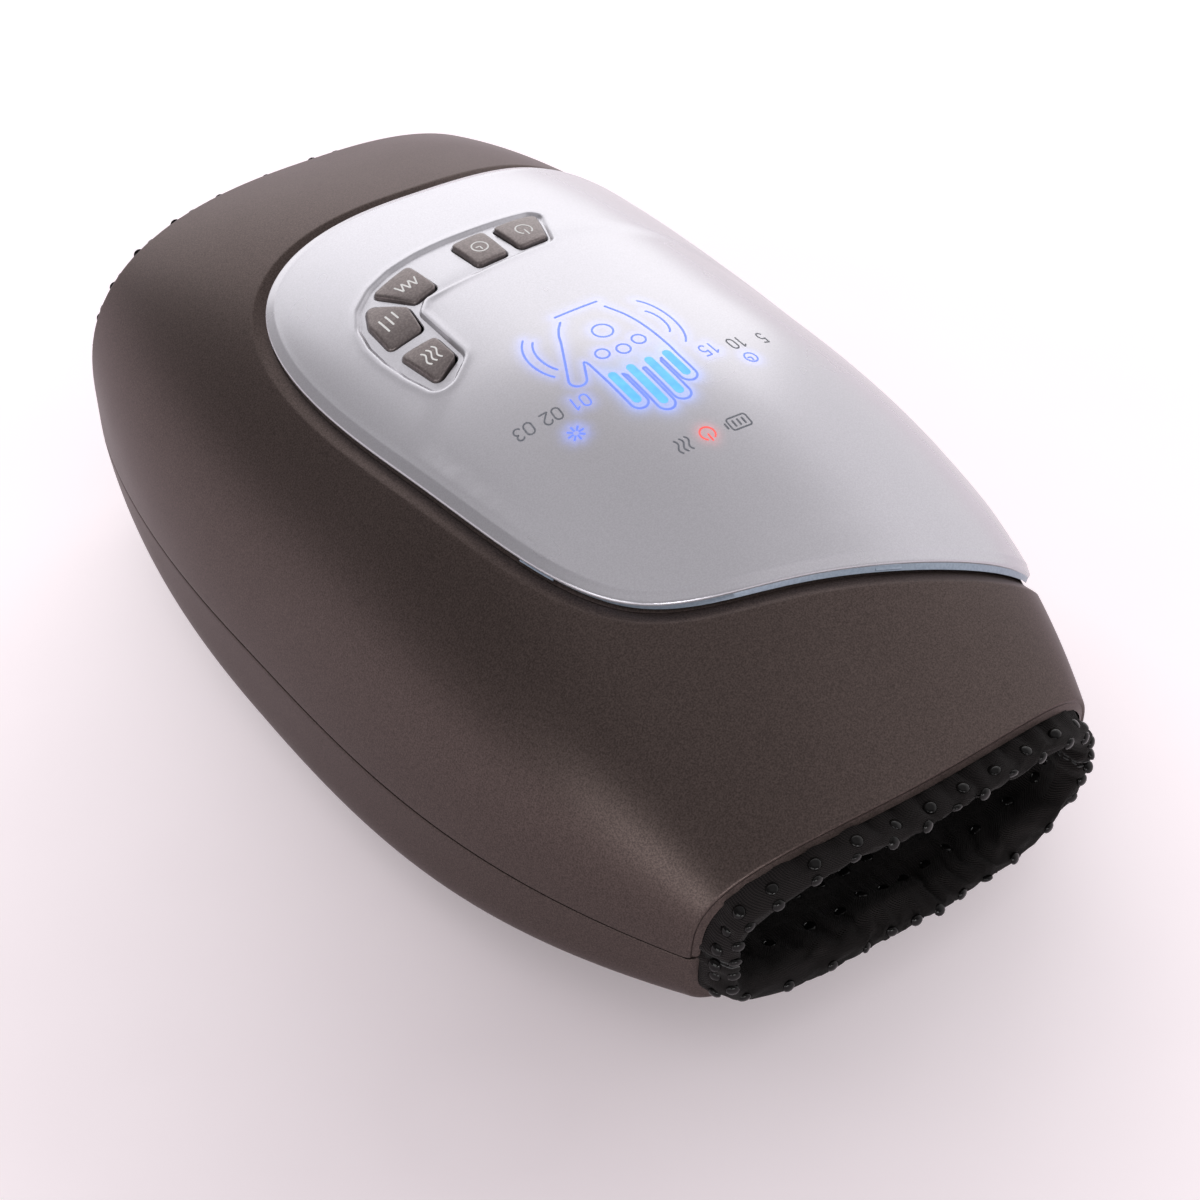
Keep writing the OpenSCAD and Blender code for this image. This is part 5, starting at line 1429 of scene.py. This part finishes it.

# %% [markdown]
# ## What repeats: dots, stitches and screws
# One small tree of Geometry Nodes places any small shape on marked points. Each point carries two directions:
# way, which the shape stands along, and along, which it is turned towards. The shape itself is built from
# primitives inside the tree, from the sizes given as inputs. The result is baked to a plain mesh.

# %% The tree that repeats a shape
def repeat_tree(name, sizes, build):
    tree = bpy.data.node_groups.new(name, "GeometryNodeTree")
    tree.interface.new_socket("Geometry", in_out="INPUT", socket_type="NodeSocketGeometry")
    tree.interface.new_socket("Geometry", in_out="OUTPUT", socket_type="NodeSocketGeometry")
    for key, value in sizes.items():
        tree.interface.new_socket(key, in_out="INPUT", socket_type="NodeSocketFloat").default_value = value
    finish = tree.interface.new_socket("Finish", in_out="INPUT", socket_type="NodeSocketMaterial")
    new, wire = tree.nodes.new, tree.links.new
    given, result = new("NodeGroupInput"), new("NodeGroupOutput")
    spin = None
    for key, axis in (("way", "Z"), ("along", "X")):
        marked = new("GeometryNodeInputNamedAttribute")
        marked.data_type = "FLOAT_VECTOR"
        marked.inputs["Name"].default_value = key
        line_up = new("FunctionNodeAlignRotationToVector")
        line_up.axis = axis
        if spin:
            line_up.pivot_axis = "Z"
            wire(spin.outputs["Rotation"], line_up.inputs["Rotation"])
        wire(marked.outputs["Attribute"], line_up.inputs["Vector"])
        spin = line_up
    spread = new("GeometryNodeInstanceOnPoints")
    real = new("GeometryNodeRealizeInstances")
    paint = new("GeometryNodeSetMaterial")
    wire(given.outputs["Geometry"], spread.inputs["Points"])
    wire(build(tree, given), spread.inputs["Instance"])
    wire(spin.outputs["Rotation"], spread.inputs["Rotation"])
    wire(spread.outputs["Instances"], real.inputs["Geometry"])
    wire(real.outputs["Geometry"], paint.inputs["Geometry"])
    wire(given.outputs["Finish"], paint.inputs["Material"])
    wire(paint.outputs["Geometry"], result.inputs["Geometry"])
    return tree

# %% [markdown]
# The marked points are a mesh without faces. The tree runs on them as a modifier, its result
# becomes a plain mesh, and the points go. A modifier's input is set by the socket's identifier
# and not by its name.

# %% Run the tree on marked points
def repeated(name, tree, places, ways, alongs, finish, body, crease=40, **sizes):
    mesh = bpy.data.meshes.new(name + "_points")
    mesh.from_pydata((np.asarray(places, float) * MM).tolist(), [], [])
    for key, rows_of in (("way", ways), ("along", alongs)):
        marks = np.broadcast_to(np.asarray(rows_of, float), (len(places), 3)).astype(np.float32)
        mesh.attributes.new(key, "FLOAT_VECTOR", "POINT").data.foreach_set("vector", marks.ravel())
    seeds = bpy.data.objects.new(name + "_points", mesh)
    scene.collection.objects.link(seeds)
    grow = seeds.modifiers.new("repeat", "NODES")
    grow.node_group = tree
    for item in tree.interface.items_tree:
        if item.in_out == "INPUT" and item.name in sizes:
            grow[item.identifier] = float(sizes[item.name])
        if item.in_out == "INPUT" and item.name == "Finish":
            grow[item.identifier] = finish
    shape = bpy.data.meshes.new_from_object(seeds.evaluated_get(bpy.context.evaluated_depsgraph_get()))
    shape.name = name
    bpy.data.objects.remove(seeds)
    for key in ("way", "along"):
        if key in shape.attributes:
            shape.attributes.remove(shape.attributes[key])
    obj = bpy.data.objects.new(name, shape)
    scene.collection.objects.link(obj)
    shape.shade_smooth()
    shape.set_sharp_from_angle(angle=math.radians(crease))
    print(name + ":", len(places), "of them,", len(shape.polygons), "faces")
    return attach(obj, body)


# %% [markdown]
# The silicone dots are low glossy domes in staggered rows, about 10 mm apart, which grip the
# hand. Their places are picked from the rings of the finished lining, so they sit on its folds.

# %% Silicone dots
def pressed_ball(tree, given, keys, segments, rings):
    """A ball whose half axes are the inputs named by keys."""
    new, wire = tree.nodes.new, tree.links.new
    ball, sizes, press = (new(kind) for kind in ("GeometryNodeMeshUVSphere", "ShaderNodeCombineXYZ",
                                                 "GeometryNodeTransform"))
    ball.inputs["Segments"].default_value, ball.inputs["Rings"].default_value = segments, rings
    ball.inputs["Radius"].default_value = 1.0
    for axis, key in zip("XYZ", keys):
        wire(given.outputs[key], sizes.inputs[axis])
    wire(ball.outputs["Mesh"], press.inputs["Geometry"])
    wire(sizes.outputs["Vector"], press.inputs["Scale"])
    return press.outputs["Geometry"]


def dome_shape(tree, given):
    return pressed_ball(tree, given, ("Radius", "Radius", "Height"), 12, 8)


dot_silicone, shader = new_finish("dot_silicone", (0.004, 0.0036, 0.0036), 0.1, specular_ior_level=0.2)
speckle(dot_silicone, shader, (0.003, 0.0027, 0.0027), (0.006, 0.0055, 0.0055), 900)
wander(dot_silicone, shader, 500, 0.08, 0.13)
dot_tree = repeat_tree("Dots", {"Radius": 0.00165, "Height": 0.00085}, dome_shape)
tube_count, around_mouth, sink = len(tube), 32, 0.1
roll_rows = [tube_count + 10, tube_count + 16]
back_roll = [len(profile) - 1 - 10, len(profile) - 1 - 16]
deep = [6.5, 16, 25.5, 35.5, 46, 57, 69, 82, 96]
rows_in = [int(np.argmin(np.abs(tube - end * (half_l - d)))) for end in (1, -1) for d in deep]
dot_rows = list(enumerate(roll_rows)) + list(enumerate(back_roll)) + [
    (k % len(deep), row) for k, row in enumerate(rows_in)]
dot_places, dot_ways = [], []
for k, row in dot_rows:
    for j in range(around_mouth):
        col = int(round((j + 0.5 * (k % 2) + 0.25) * sides / around_mouth)) % sides
        dot_places.append(settled[row, col] - sink * normals[row, col])
        dot_ways.append(normals[row, col])
print("rows of dots:", len(dot_rows))
dots = repeated("silicone_domes", dot_tree, dot_places, dot_ways, (0, 1, 0), dot_silicone, "housing", 60)
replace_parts(dots, "silicone_dots")

# %% [markdown]
# The two halves of the lining are sewn together at both sides of each mouth. Two lines of
# small stitches cross the roll there and sink into its crease.

# %% Stitches
def stitch_shape(tree, given):
    return pressed_ball(tree, given, ("Half Length", "Thickness", "Thickness"), 8, 6)


thread_black, shader = new_finish("thread_black", (0.02, 0.02, 0.021), 0.6, sheen_weight=0.3)
speckle(thread_black, shader, (0.012, 0.012, 0.013), (0.035, 0.034, 0.035), 2500)
grain(thread_black, shader, 4000, 0.4, 0.00005)
stitch_tree = repeat_tree("Stitches", {"Half Length": 0.00085, "Thickness": 0.00024}, stitch_shape)
stitch_places, stitch_ways, stitch_alongs = [], [], []
front_rows = [*range(tube_count - 8, tube_count + 17)]
back_rows = [*range(8), *range(len(profile) - 17, len(profile))]
for rows_of in (front_rows, back_rows):
    for col in (0, sides // 2):
        for r in rows_of[:-1:2]:
            ahead = settled[(r + 1) % len(profile), col] - settled[r, col]
            for beside in ((col - 1) % sides, (col + 1) % sides):
                stitch_places.append(settled[r, beside] + 0.1 * normals[r, beside])
                stitch_ways.append(normals[r, beside])
                stitch_alongs.append(unit(ahead))
repeated("seam_stitches", stitch_tree, stitch_places, stitch_ways, stitch_alongs, thread_black, "housing", 60)

# %% [markdown]
# Three kinds of screw hold the housing, the deck and the boards. All are pan heads with a cross
# recess, so one tree makes them from their diameter and length. The recess is two crossed
# boxes taken out of the head with a Boolean inside the tree.

# %% Shape of a screw
def screw_shape(tree, given):
    new, wire = tree.nodes.new, tree.links.new

    def scaled(factor, key="Diameter"):
        times = new("ShaderNodeMath")
        times.operation = "MULTIPLY"
        times.inputs[1].default_value = factor
        wire(given.outputs[key], times.inputs[0])
        return times.outputs["Value"]

    def lifted(mesh, height):
        move, at = new("GeometryNodeTransform"), new("ShaderNodeCombineXYZ")
        wire(height, at.inputs["Z"])
        wire(mesh, move.inputs["Geometry"])
        wire(at.outputs["Vector"], move.inputs["Translation"])
        return move.outputs["Geometry"]

    def rod(radius, depth, middle, steps):
        made = new("GeometryNodeMeshCylinder")
        made.inputs["Vertices"].default_value = steps
        wire(radius, made.inputs["Radius"])
        wire(depth, made.inputs["Depth"])
        return lifted(made.outputs["Mesh"], middle)

    def bar(*wide):
        made, size = new("GeometryNodeMeshCube"), new("ShaderNodeCombineXYZ")
        for axis, factor in zip("XYZ", (*wide, 0.6)):
            wire(scaled(factor), size.inputs[axis])
        wire(size.outputs["Vector"], made.inputs["Size"])
        return lifted(made.outputs["Mesh"], scaled(-0.6))

    head = rod(scaled(1.0), scaled(0.6), scaled(-0.3), 32)
    shank = rod(scaled(0.5), given.outputs["Length"], scaled(0.5, "Length"), 20)
    cut = new("GeometryNodeMeshBoolean")
    cut.operation = "DIFFERENCE"
    wire(head, cut.inputs["Mesh 1"])
    for cross in (bar(1.3, 0.24), bar(0.24, 1.3)):
        wire(cross, cut.inputs["Mesh 2"])
    join = new("GeometryNodeJoinGeometry")
    wire(cut.outputs["Mesh"], join.inputs["Geometry"])
    wire(shank, join.inputs["Geometry"])
    return join.outputs["Geometry"]

# %% [markdown]
# The screws are zinc plated: bright, but a little uneven in tone and gloss. Each set is one
# piece with its own diameter and length. The heads of the case and deck screws face down, and
# those of the boards face up.

# %% Place the screws
screw_zinc, shader = new_finish("screw_zinc", (0.5, 0.51, 0.54), 0.34, 1.0)
speckle(screw_zinc, shader, (0.42, 0.43, 0.46), (0.58, 0.59, 0.62), 700)
wander(screw_zinc, shader, 900, 0.28, 0.42)
screw_tree = repeat_tree("Screws", {"Diameter": 0.003, "Length": 0.02}, screw_shape)
deck_z = 70.0003
deck_top = deck_z + 2.4
key_board_z, main_z = switch_top - 3.5 - 1.6, deck_top + 4
board_places = [(x, y, key_board_z + 1.6) for x in (-18.8, 43.8) for y in (-47.8, -4.2)]
board_places += [(x, y, main_z + 1.6) for x in (-9.8, 33.8) for y in (-58.8, -15.2)]
for name, node, spots, way, d, long in (
        ("case_screw_set", "case_screws", [(x, y, 12) for x, y in boss_places], 1, 0.003, 0.0315),
        ("deck_screw_set", "deck_screws", [(x, y, 9) for x, y in leg_places], 1, 0.003, 0.017),
        ("board_screw_set", "board_screws", board_places, -1, 0.002, 0.005)):
    made = repeated(name, screw_tree, spots, (0, 0, way), (1, 0, 0), screw_zinc, "housing", 30,
                    Diameter=d, Length=long)
    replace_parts(made, node)

# %% [markdown]
# The feet are soft rubber buttons pressed into round seats. Only their lower edge shows. Each
# is turned on a lathe: a profile of radius and height, swept round an upright axis.

# %% Rubber feet
foot_rubber, shader = new_finish("foot_rubber", (0.028, 0.028, 0.03), 0.72)
speckle(foot_rubber, shader, (0.02, 0.02, 0.021), (0.045, 0.045, 0.046), 800)
grain(foot_rubber, shader, 1800, 0.5, 0.0001)
pads = []
for x, y in foot_places:
    top = belly(x, y) + foot_depth
    pads.append(lathe([(0.05, 0.35), (3.9, 0.35), (4.4, 0.0), (5.7, 0.0), (6.2, 0.16),
                       (6.45, 0.5), (6.5, 0.9), (6.5, top), (0.05, top)], (x, y, 0)))
feet = piece("foot_buttons", *joined(pads), foot_rubber, 45)
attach(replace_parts(feet, "rubber_feet"), "housing")
print("feet down to", round(min(v.co.z for v in feet.data.vertices) / MM, 3), "mm")

# %% [markdown]
# ## Inside the housing
# Behind the shells sit the boards, battery, pump, valves and air bags. Their shapes come from
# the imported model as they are. Each gets the finish of its real material: glass-fibre board
# with a copper pattern under green lacquer, drawn steel, printed battery sleeve, moulded nylon.

# %% Makers of the inner finishes
def plain_finish(name, dark, light, scale, gloss, relief_scale, relief_by, metallic=0.0, **more):
    mat, shader = new_finish(name, light, gloss[0], metallic, **more)
    speckle(mat, shader, dark, light, scale)
    wander(mat, shader, scale * 0.6, *gloss)
    grain(mat, shader, relief_scale, relief_by, 0.00005)
    return mat


def board_finish():
    mat, shader = new_finish("board_green", (0.012, 0.09, 0.04), 0.35, coat_weight=0.3)
    where = add(mat, "ShaderNodeTexCoord")
    tracks = add(mat, "ShaderNodeTexVoronoi", Scale=260.0, Randomness=0.55, distance="MANHATTAN")
    ramp = two_tones(mat, (0.02, 0.16, 0.07), (0.01, 0.075, 0.035), 0.0, 0.42)
    ramp.color_ramp.interpolation = "CONSTANT"
    bump = add(mat, "ShaderNodeBump", Strength=0.3, Distance=0.00005)
    link(mat, where, "Object", tracks, "Vector")
    link(mat, tracks, "Distance", ramp, "Fac")
    link(mat, ramp, "Color", shader, "Base Color")
    link(mat, ramp, "Color", bump, "Height")
    link(mat, bump, "Normal", shader, "Normal")
    return mat


def cloth_finish():
    mat, shader = new_finish("bag_cloth", (0.16, 0.2, 0.25), 0.7, sheen_weight=0.2)
    where = add(mat, "ShaderNodeTexCoord")
    weave = add(mat, "ShaderNodeTexBrick", Scale=700.0)
    for key, colour in (("Color1", (0.13, 0.17, 0.22)), ("Color2", (0.2, 0.24, 0.3)),
                        ("Mortar", (0.07, 0.09, 0.12))):
        weave.inputs[key].default_value = (*colour, 1)
    bump = add(mat, "ShaderNodeBump", Strength=0.4, Distance=0.0001)
    link(mat, where, "Object", weave, "Vector")
    link(mat, weave, "Color", shader, "Base Color")
    link(mat, weave, "Fac", bump, "Height")
    link(mat, bump, "Normal", shader, "Normal")
    return mat

# %% [markdown]
# The other inner parts differ only in numbers, so they are rows of one table. A seventh number
# tells metals from plastics, and three finishes carry an extra, such as a little light that
# scatters inside the white light guide.

# %% Table of the inner finishes
# dark tone, light tone, speckle scale, range of roughness, relief scale, relief strength, metallic
inner_tones = {
    "dark_plastic": ((0.028, 0.03, 0.034), (0.05, 0.053, 0.06), 300, (0.45, 0.6), 1500, 0.3),
    "light_guide_white": ((0.76, 0.76, 0.73), (0.85, 0.85, 0.82), 120, (0.3, 0.42), 900, 0.1),
    "lamp_clear": ((0.62, 0.74, 0.85), (0.72, 0.84, 0.92), 500, (0.12, 0.2), 900, 0.05),
    "cell_blue": ((0.02, 0.12, 0.38), (0.03, 0.17, 0.48), 60, (0.25, 0.35), 500, 0.15),
    "socket_steel": ((0.5, 0.51, 0.53), (0.62, 0.63, 0.65), 400, (0.25, 0.38), 1200, 0.1, 1.0),
    "motor_steel": ((0.42, 0.43, 0.45), (0.56, 0.57, 0.6), 150, (0.28, 0.42), 900, 0.15, 1.0),
    "pale_plastic": ((0.6, 0.61, 0.63), (0.72, 0.73, 0.74), 200, (0.4, 0.5), 1000, 0.2),
    "crank_brass": ((0.5, 0.34, 0.1), (0.66, 0.47, 0.16), 250, (0.22, 0.36), 900, 0.15, 1.0),
    "coil_blue": ((0.03, 0.1, 0.26), (0.05, 0.16, 0.38), 700, (0.3, 0.45), 1600, 0.3),
    "hose_rubber": ((0.66, 0.66, 0.63), (0.78, 0.78, 0.75), 250, (0.4, 0.55), 900, 0.2),
    "heater_film": ((0.38, 0.11, 0.03), (0.55, 0.19, 0.06), 180, (0.3, 0.45), 700, 0.2, 0.3)}
special = {"light_guide_white": {"subsurface_weight": 0.1}, "hose_rubber": {"subsurface_weight": 0.15},
           "cell_blue": {"coat_weight": 0.3}}
inner = {name: plain_finish(name, *tones, **special.get(name, {})) for name, tones in inner_tones.items()}
inner |= {"board_green": board_finish(), "bag_cloth": cloth_finish(), "foot_rubber": foot_rubber}
print("finishes of the inner parts:", len(inner))

# %% [markdown]
# Here each finish names the nodes that wear it. Painting them by hand would work as well, but a
# table can be read and checked like a parts list.

# %% Give each inner node its finish
families = {
    "board_green": "key_board display_board main_board charge_board",
    "dark_plastic": "key_switches deck main_chips buzzer battery_holder socket_bracket "
                    "finger_collar entry_collar",
    "light_guide_white": "light_guide", "lamp_clear": "display_leds", "cell_blue": "battery_cells",
    "socket_steel": "charge_socket", "motor_steel": "pump_motor fill_plunger release_plunger",
    "pale_plastic": "pump_head valve_block", "crank_brass": "pump_crank", "foot_rubber": "pump_cradle",
    "coil_blue": "valve_coils", "hose_rubber": "air_hoses", "bag_cloth": "upper_air_bag lower_air_bag",
    "heater_film": "heating_sheet"}
for finish, names in families.items():
    for name in names.split():
        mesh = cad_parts[name].data
        mesh.materials.clear()
        mesh.materials.append(inner[finish])
dressed = " ".join(families.values()).split()
left = [name for name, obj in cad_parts.items() if not obj.hide_render and name not in dressed]
print("inner nodes with a finish:", len(dressed), "left over:", left)

# %% [markdown]
# ## Table and light
# The object stands on one large pale sheet. The light is a photographer's: a wide soft box
# above and behind, a second one at the side, and a small low one in front of the finger mouth,
# all in a pale room that the lacquer mirrors. Sheet and room look brighter than they light,
# and that takes a switch that knows which kind of ray asks.

# %% Light that is seen but doesn't fall on the object
def only_when_seen(owner, source, out):
    """Passes a strength on to camera, glossy and transmission rays, and nothing to the others."""
    ray = add(owner, "ShaderNodeLightPath")
    either, any_of, times = (add(owner, "ShaderNodeMath", operation=kind)
                             for kind in ("MAXIMUM", "MAXIMUM", "MULTIPLY"))
    link(owner, ray, "Is Camera Ray", either, 0)
    link(owner, ray, "Is Glossy Ray", either, 1)
    link(owner, either, "Value", any_of, 0)
    link(owner, ray, "Is Transmission Ray", any_of, 1)
    link(owner, any_of, "Value", times, 0)
    link(owner, source, out, times, 1)
    return times


def ramp_between(owner, source, out, span, values, kind="LINEAR"):
    made = add(owner, "ShaderNodeMapRange", interpolation_type=kind)
    for key, value in zip(("From Min", "From Max", "To Min", "To Max"), (*span, *values)):
        made.inputs[key].default_value = value
    link(owner, source, out, made, "Value")
    return made


# %% [markdown]
# The table is a dull and nearly white sheet. A picture of this kind is exposed until the paper turns white,
# so the sheet also gives off a little light towards the camera and the lacquer. It gives off less near the
# front of the object, which paints a soft shade there on top of the real shadow.

# %% Table
table_white, shader = new_finish("table_white", (0.86, 0.775, 0.815), 0.9, specular_ior_level=0.2)
speckle(table_white, shader, (0.853, 0.768, 0.808), (0.867, 0.782, 0.822), 25)
where = add(table_white, "ShaderNodeTexCoord")
away = add(table_white, "ShaderNodeVectorMath", operation="DISTANCE")
away.inputs[1].default_value = (0.105, 0.11, 0)
link(table_white, where, "Object", away, 0)
# The glow is weaker close to a spot in front of the object: a painted shade on the sheet.
sheet_glow_painted_shade = ramp_between(table_white, away, "Value", (0.02, 0.24), (0.13, 0.49))
link(table_white, only_when_seen(table_white, sheet_glow_painted_shade, "Result"), "Value", shader, "Emission Strength")
shader.inputs["Emission Color"].default_value = (1, 0.93, 0.965, 1)
table_half = 3000
corners = [[x * table_half, y * table_half, 0] for x, y in ((-1, -1), (1, -1), (1, 1), (-1, 1))]
table_top = piece("table", corners, [[0, 1, 2, 3]], table_white)
print("table:", 2 * table_half, "mm wide")

# %% [markdown]
# A soft box is an area lamp: the larger it is, the softer its shadows and the broader its
# reflection in the lacquer. The one behind draws the long highlights on the shoulders. The low
# one reaches the knit in the finger mouth, which would otherwise be lost in the dark.

# %% Lamps
def soft_box(name, spot_at, aim, wide, high, power):
    lamp = bpy.data.lights.new(name, "AREA")
    lamp.shape, lamp.size, lamp.size_y, lamp.energy = "RECTANGLE", wide, high, power
    obj = bpy.data.objects.new(name, lamp)
    obj.location = spot_at
    obj.rotation_euler = (Vector(aim) - Vector(spot_at)).to_track_quat("-Z", "Y").to_euler()
    scene.collection.objects.link(obj)


soft_box("box_behind", (-0.50, -1.22, 0.69), (0, 0, 0.08), 2.1, 1.2, 6.6)
soft_box("box_side", (1.28, 0.56, 0.26), (0, 0, 0.05), 0.9, 0.44, 4.2)
soft_box("box_mouth", (0.42, 1.2, 0.15), (0, 0.12, 0.04), 0.6, 0.24, 3.6)

# %% [markdown]
# Half of what the lacquer shows is the room. All light that is scattered comes evenly from the
# whole sky, but what is mirrored comes from a room with one bright side, behind the object, and
# a darker one in front, which is what draws the housing's form in the photograph. The camera
# itself sees a nearly white one.

# %% Room
room = bpy.data.worlds.new("room")
room.use_nodes = True
sky = room.node_tree.nodes["Background"]
where = add(room, "ShaderNodeTexCoord")
facing = add(room, "ShaderNodeVectorMath", operation="DOT_PRODUCT")
facing.inputs[1].default_value = (-0.94, -0.34, 0)
link(room, where, "Generated", facing, 0)
walls = ramp_between(room, facing, "Value", (-0.45, 0.6), (0.15, 1.25), "SMOOTHSTEP")
height = add(room, "ShaderNodeSeparateXYZ")
link(room, where, "Generated", height, 0)
ceiling = ramp_between(room, height, "Z", (0.6, 0.94), (0, 1), "SMOOTHSTEP")
mirrored, scattered, shown = (add(room, "ShaderNodeMix", data_type="FLOAT") for _ in range(3))
mirrored.inputs["B"].default_value = 0.55
scattered.inputs["A"].default_value = 0.6
shown.inputs["B"].default_value = 1.0
ray, clear_or_seen = add(room, "ShaderNodeLightPath"), add(room, "ShaderNodeMath", operation="MAXIMUM")
link(room, ceiling, "Result", mirrored, "Factor")
link(room, walls, "Result", mirrored, "A")
link(room, ray, "Is Glossy Ray", scattered, "Factor")
link(room, mirrored, "Result", scattered, "B")
link(room, ray, "Is Camera Ray", clear_or_seen, 0)
link(room, ray, "Is Transmission Ray", clear_or_seen, 1)
link(room, clear_or_seen, "Value", shown, "Factor")
link(room, scattered, "Result", shown, "A")
link(room, shown, "Result", sky, "Strength")
sky.inputs["Color"].default_value = (1, 0.975, 0.985, 1)
scene.world = room
scene.view_settings.view_transform = "Standard"
print("room:", len(room.node_tree.nodes), "nodes")
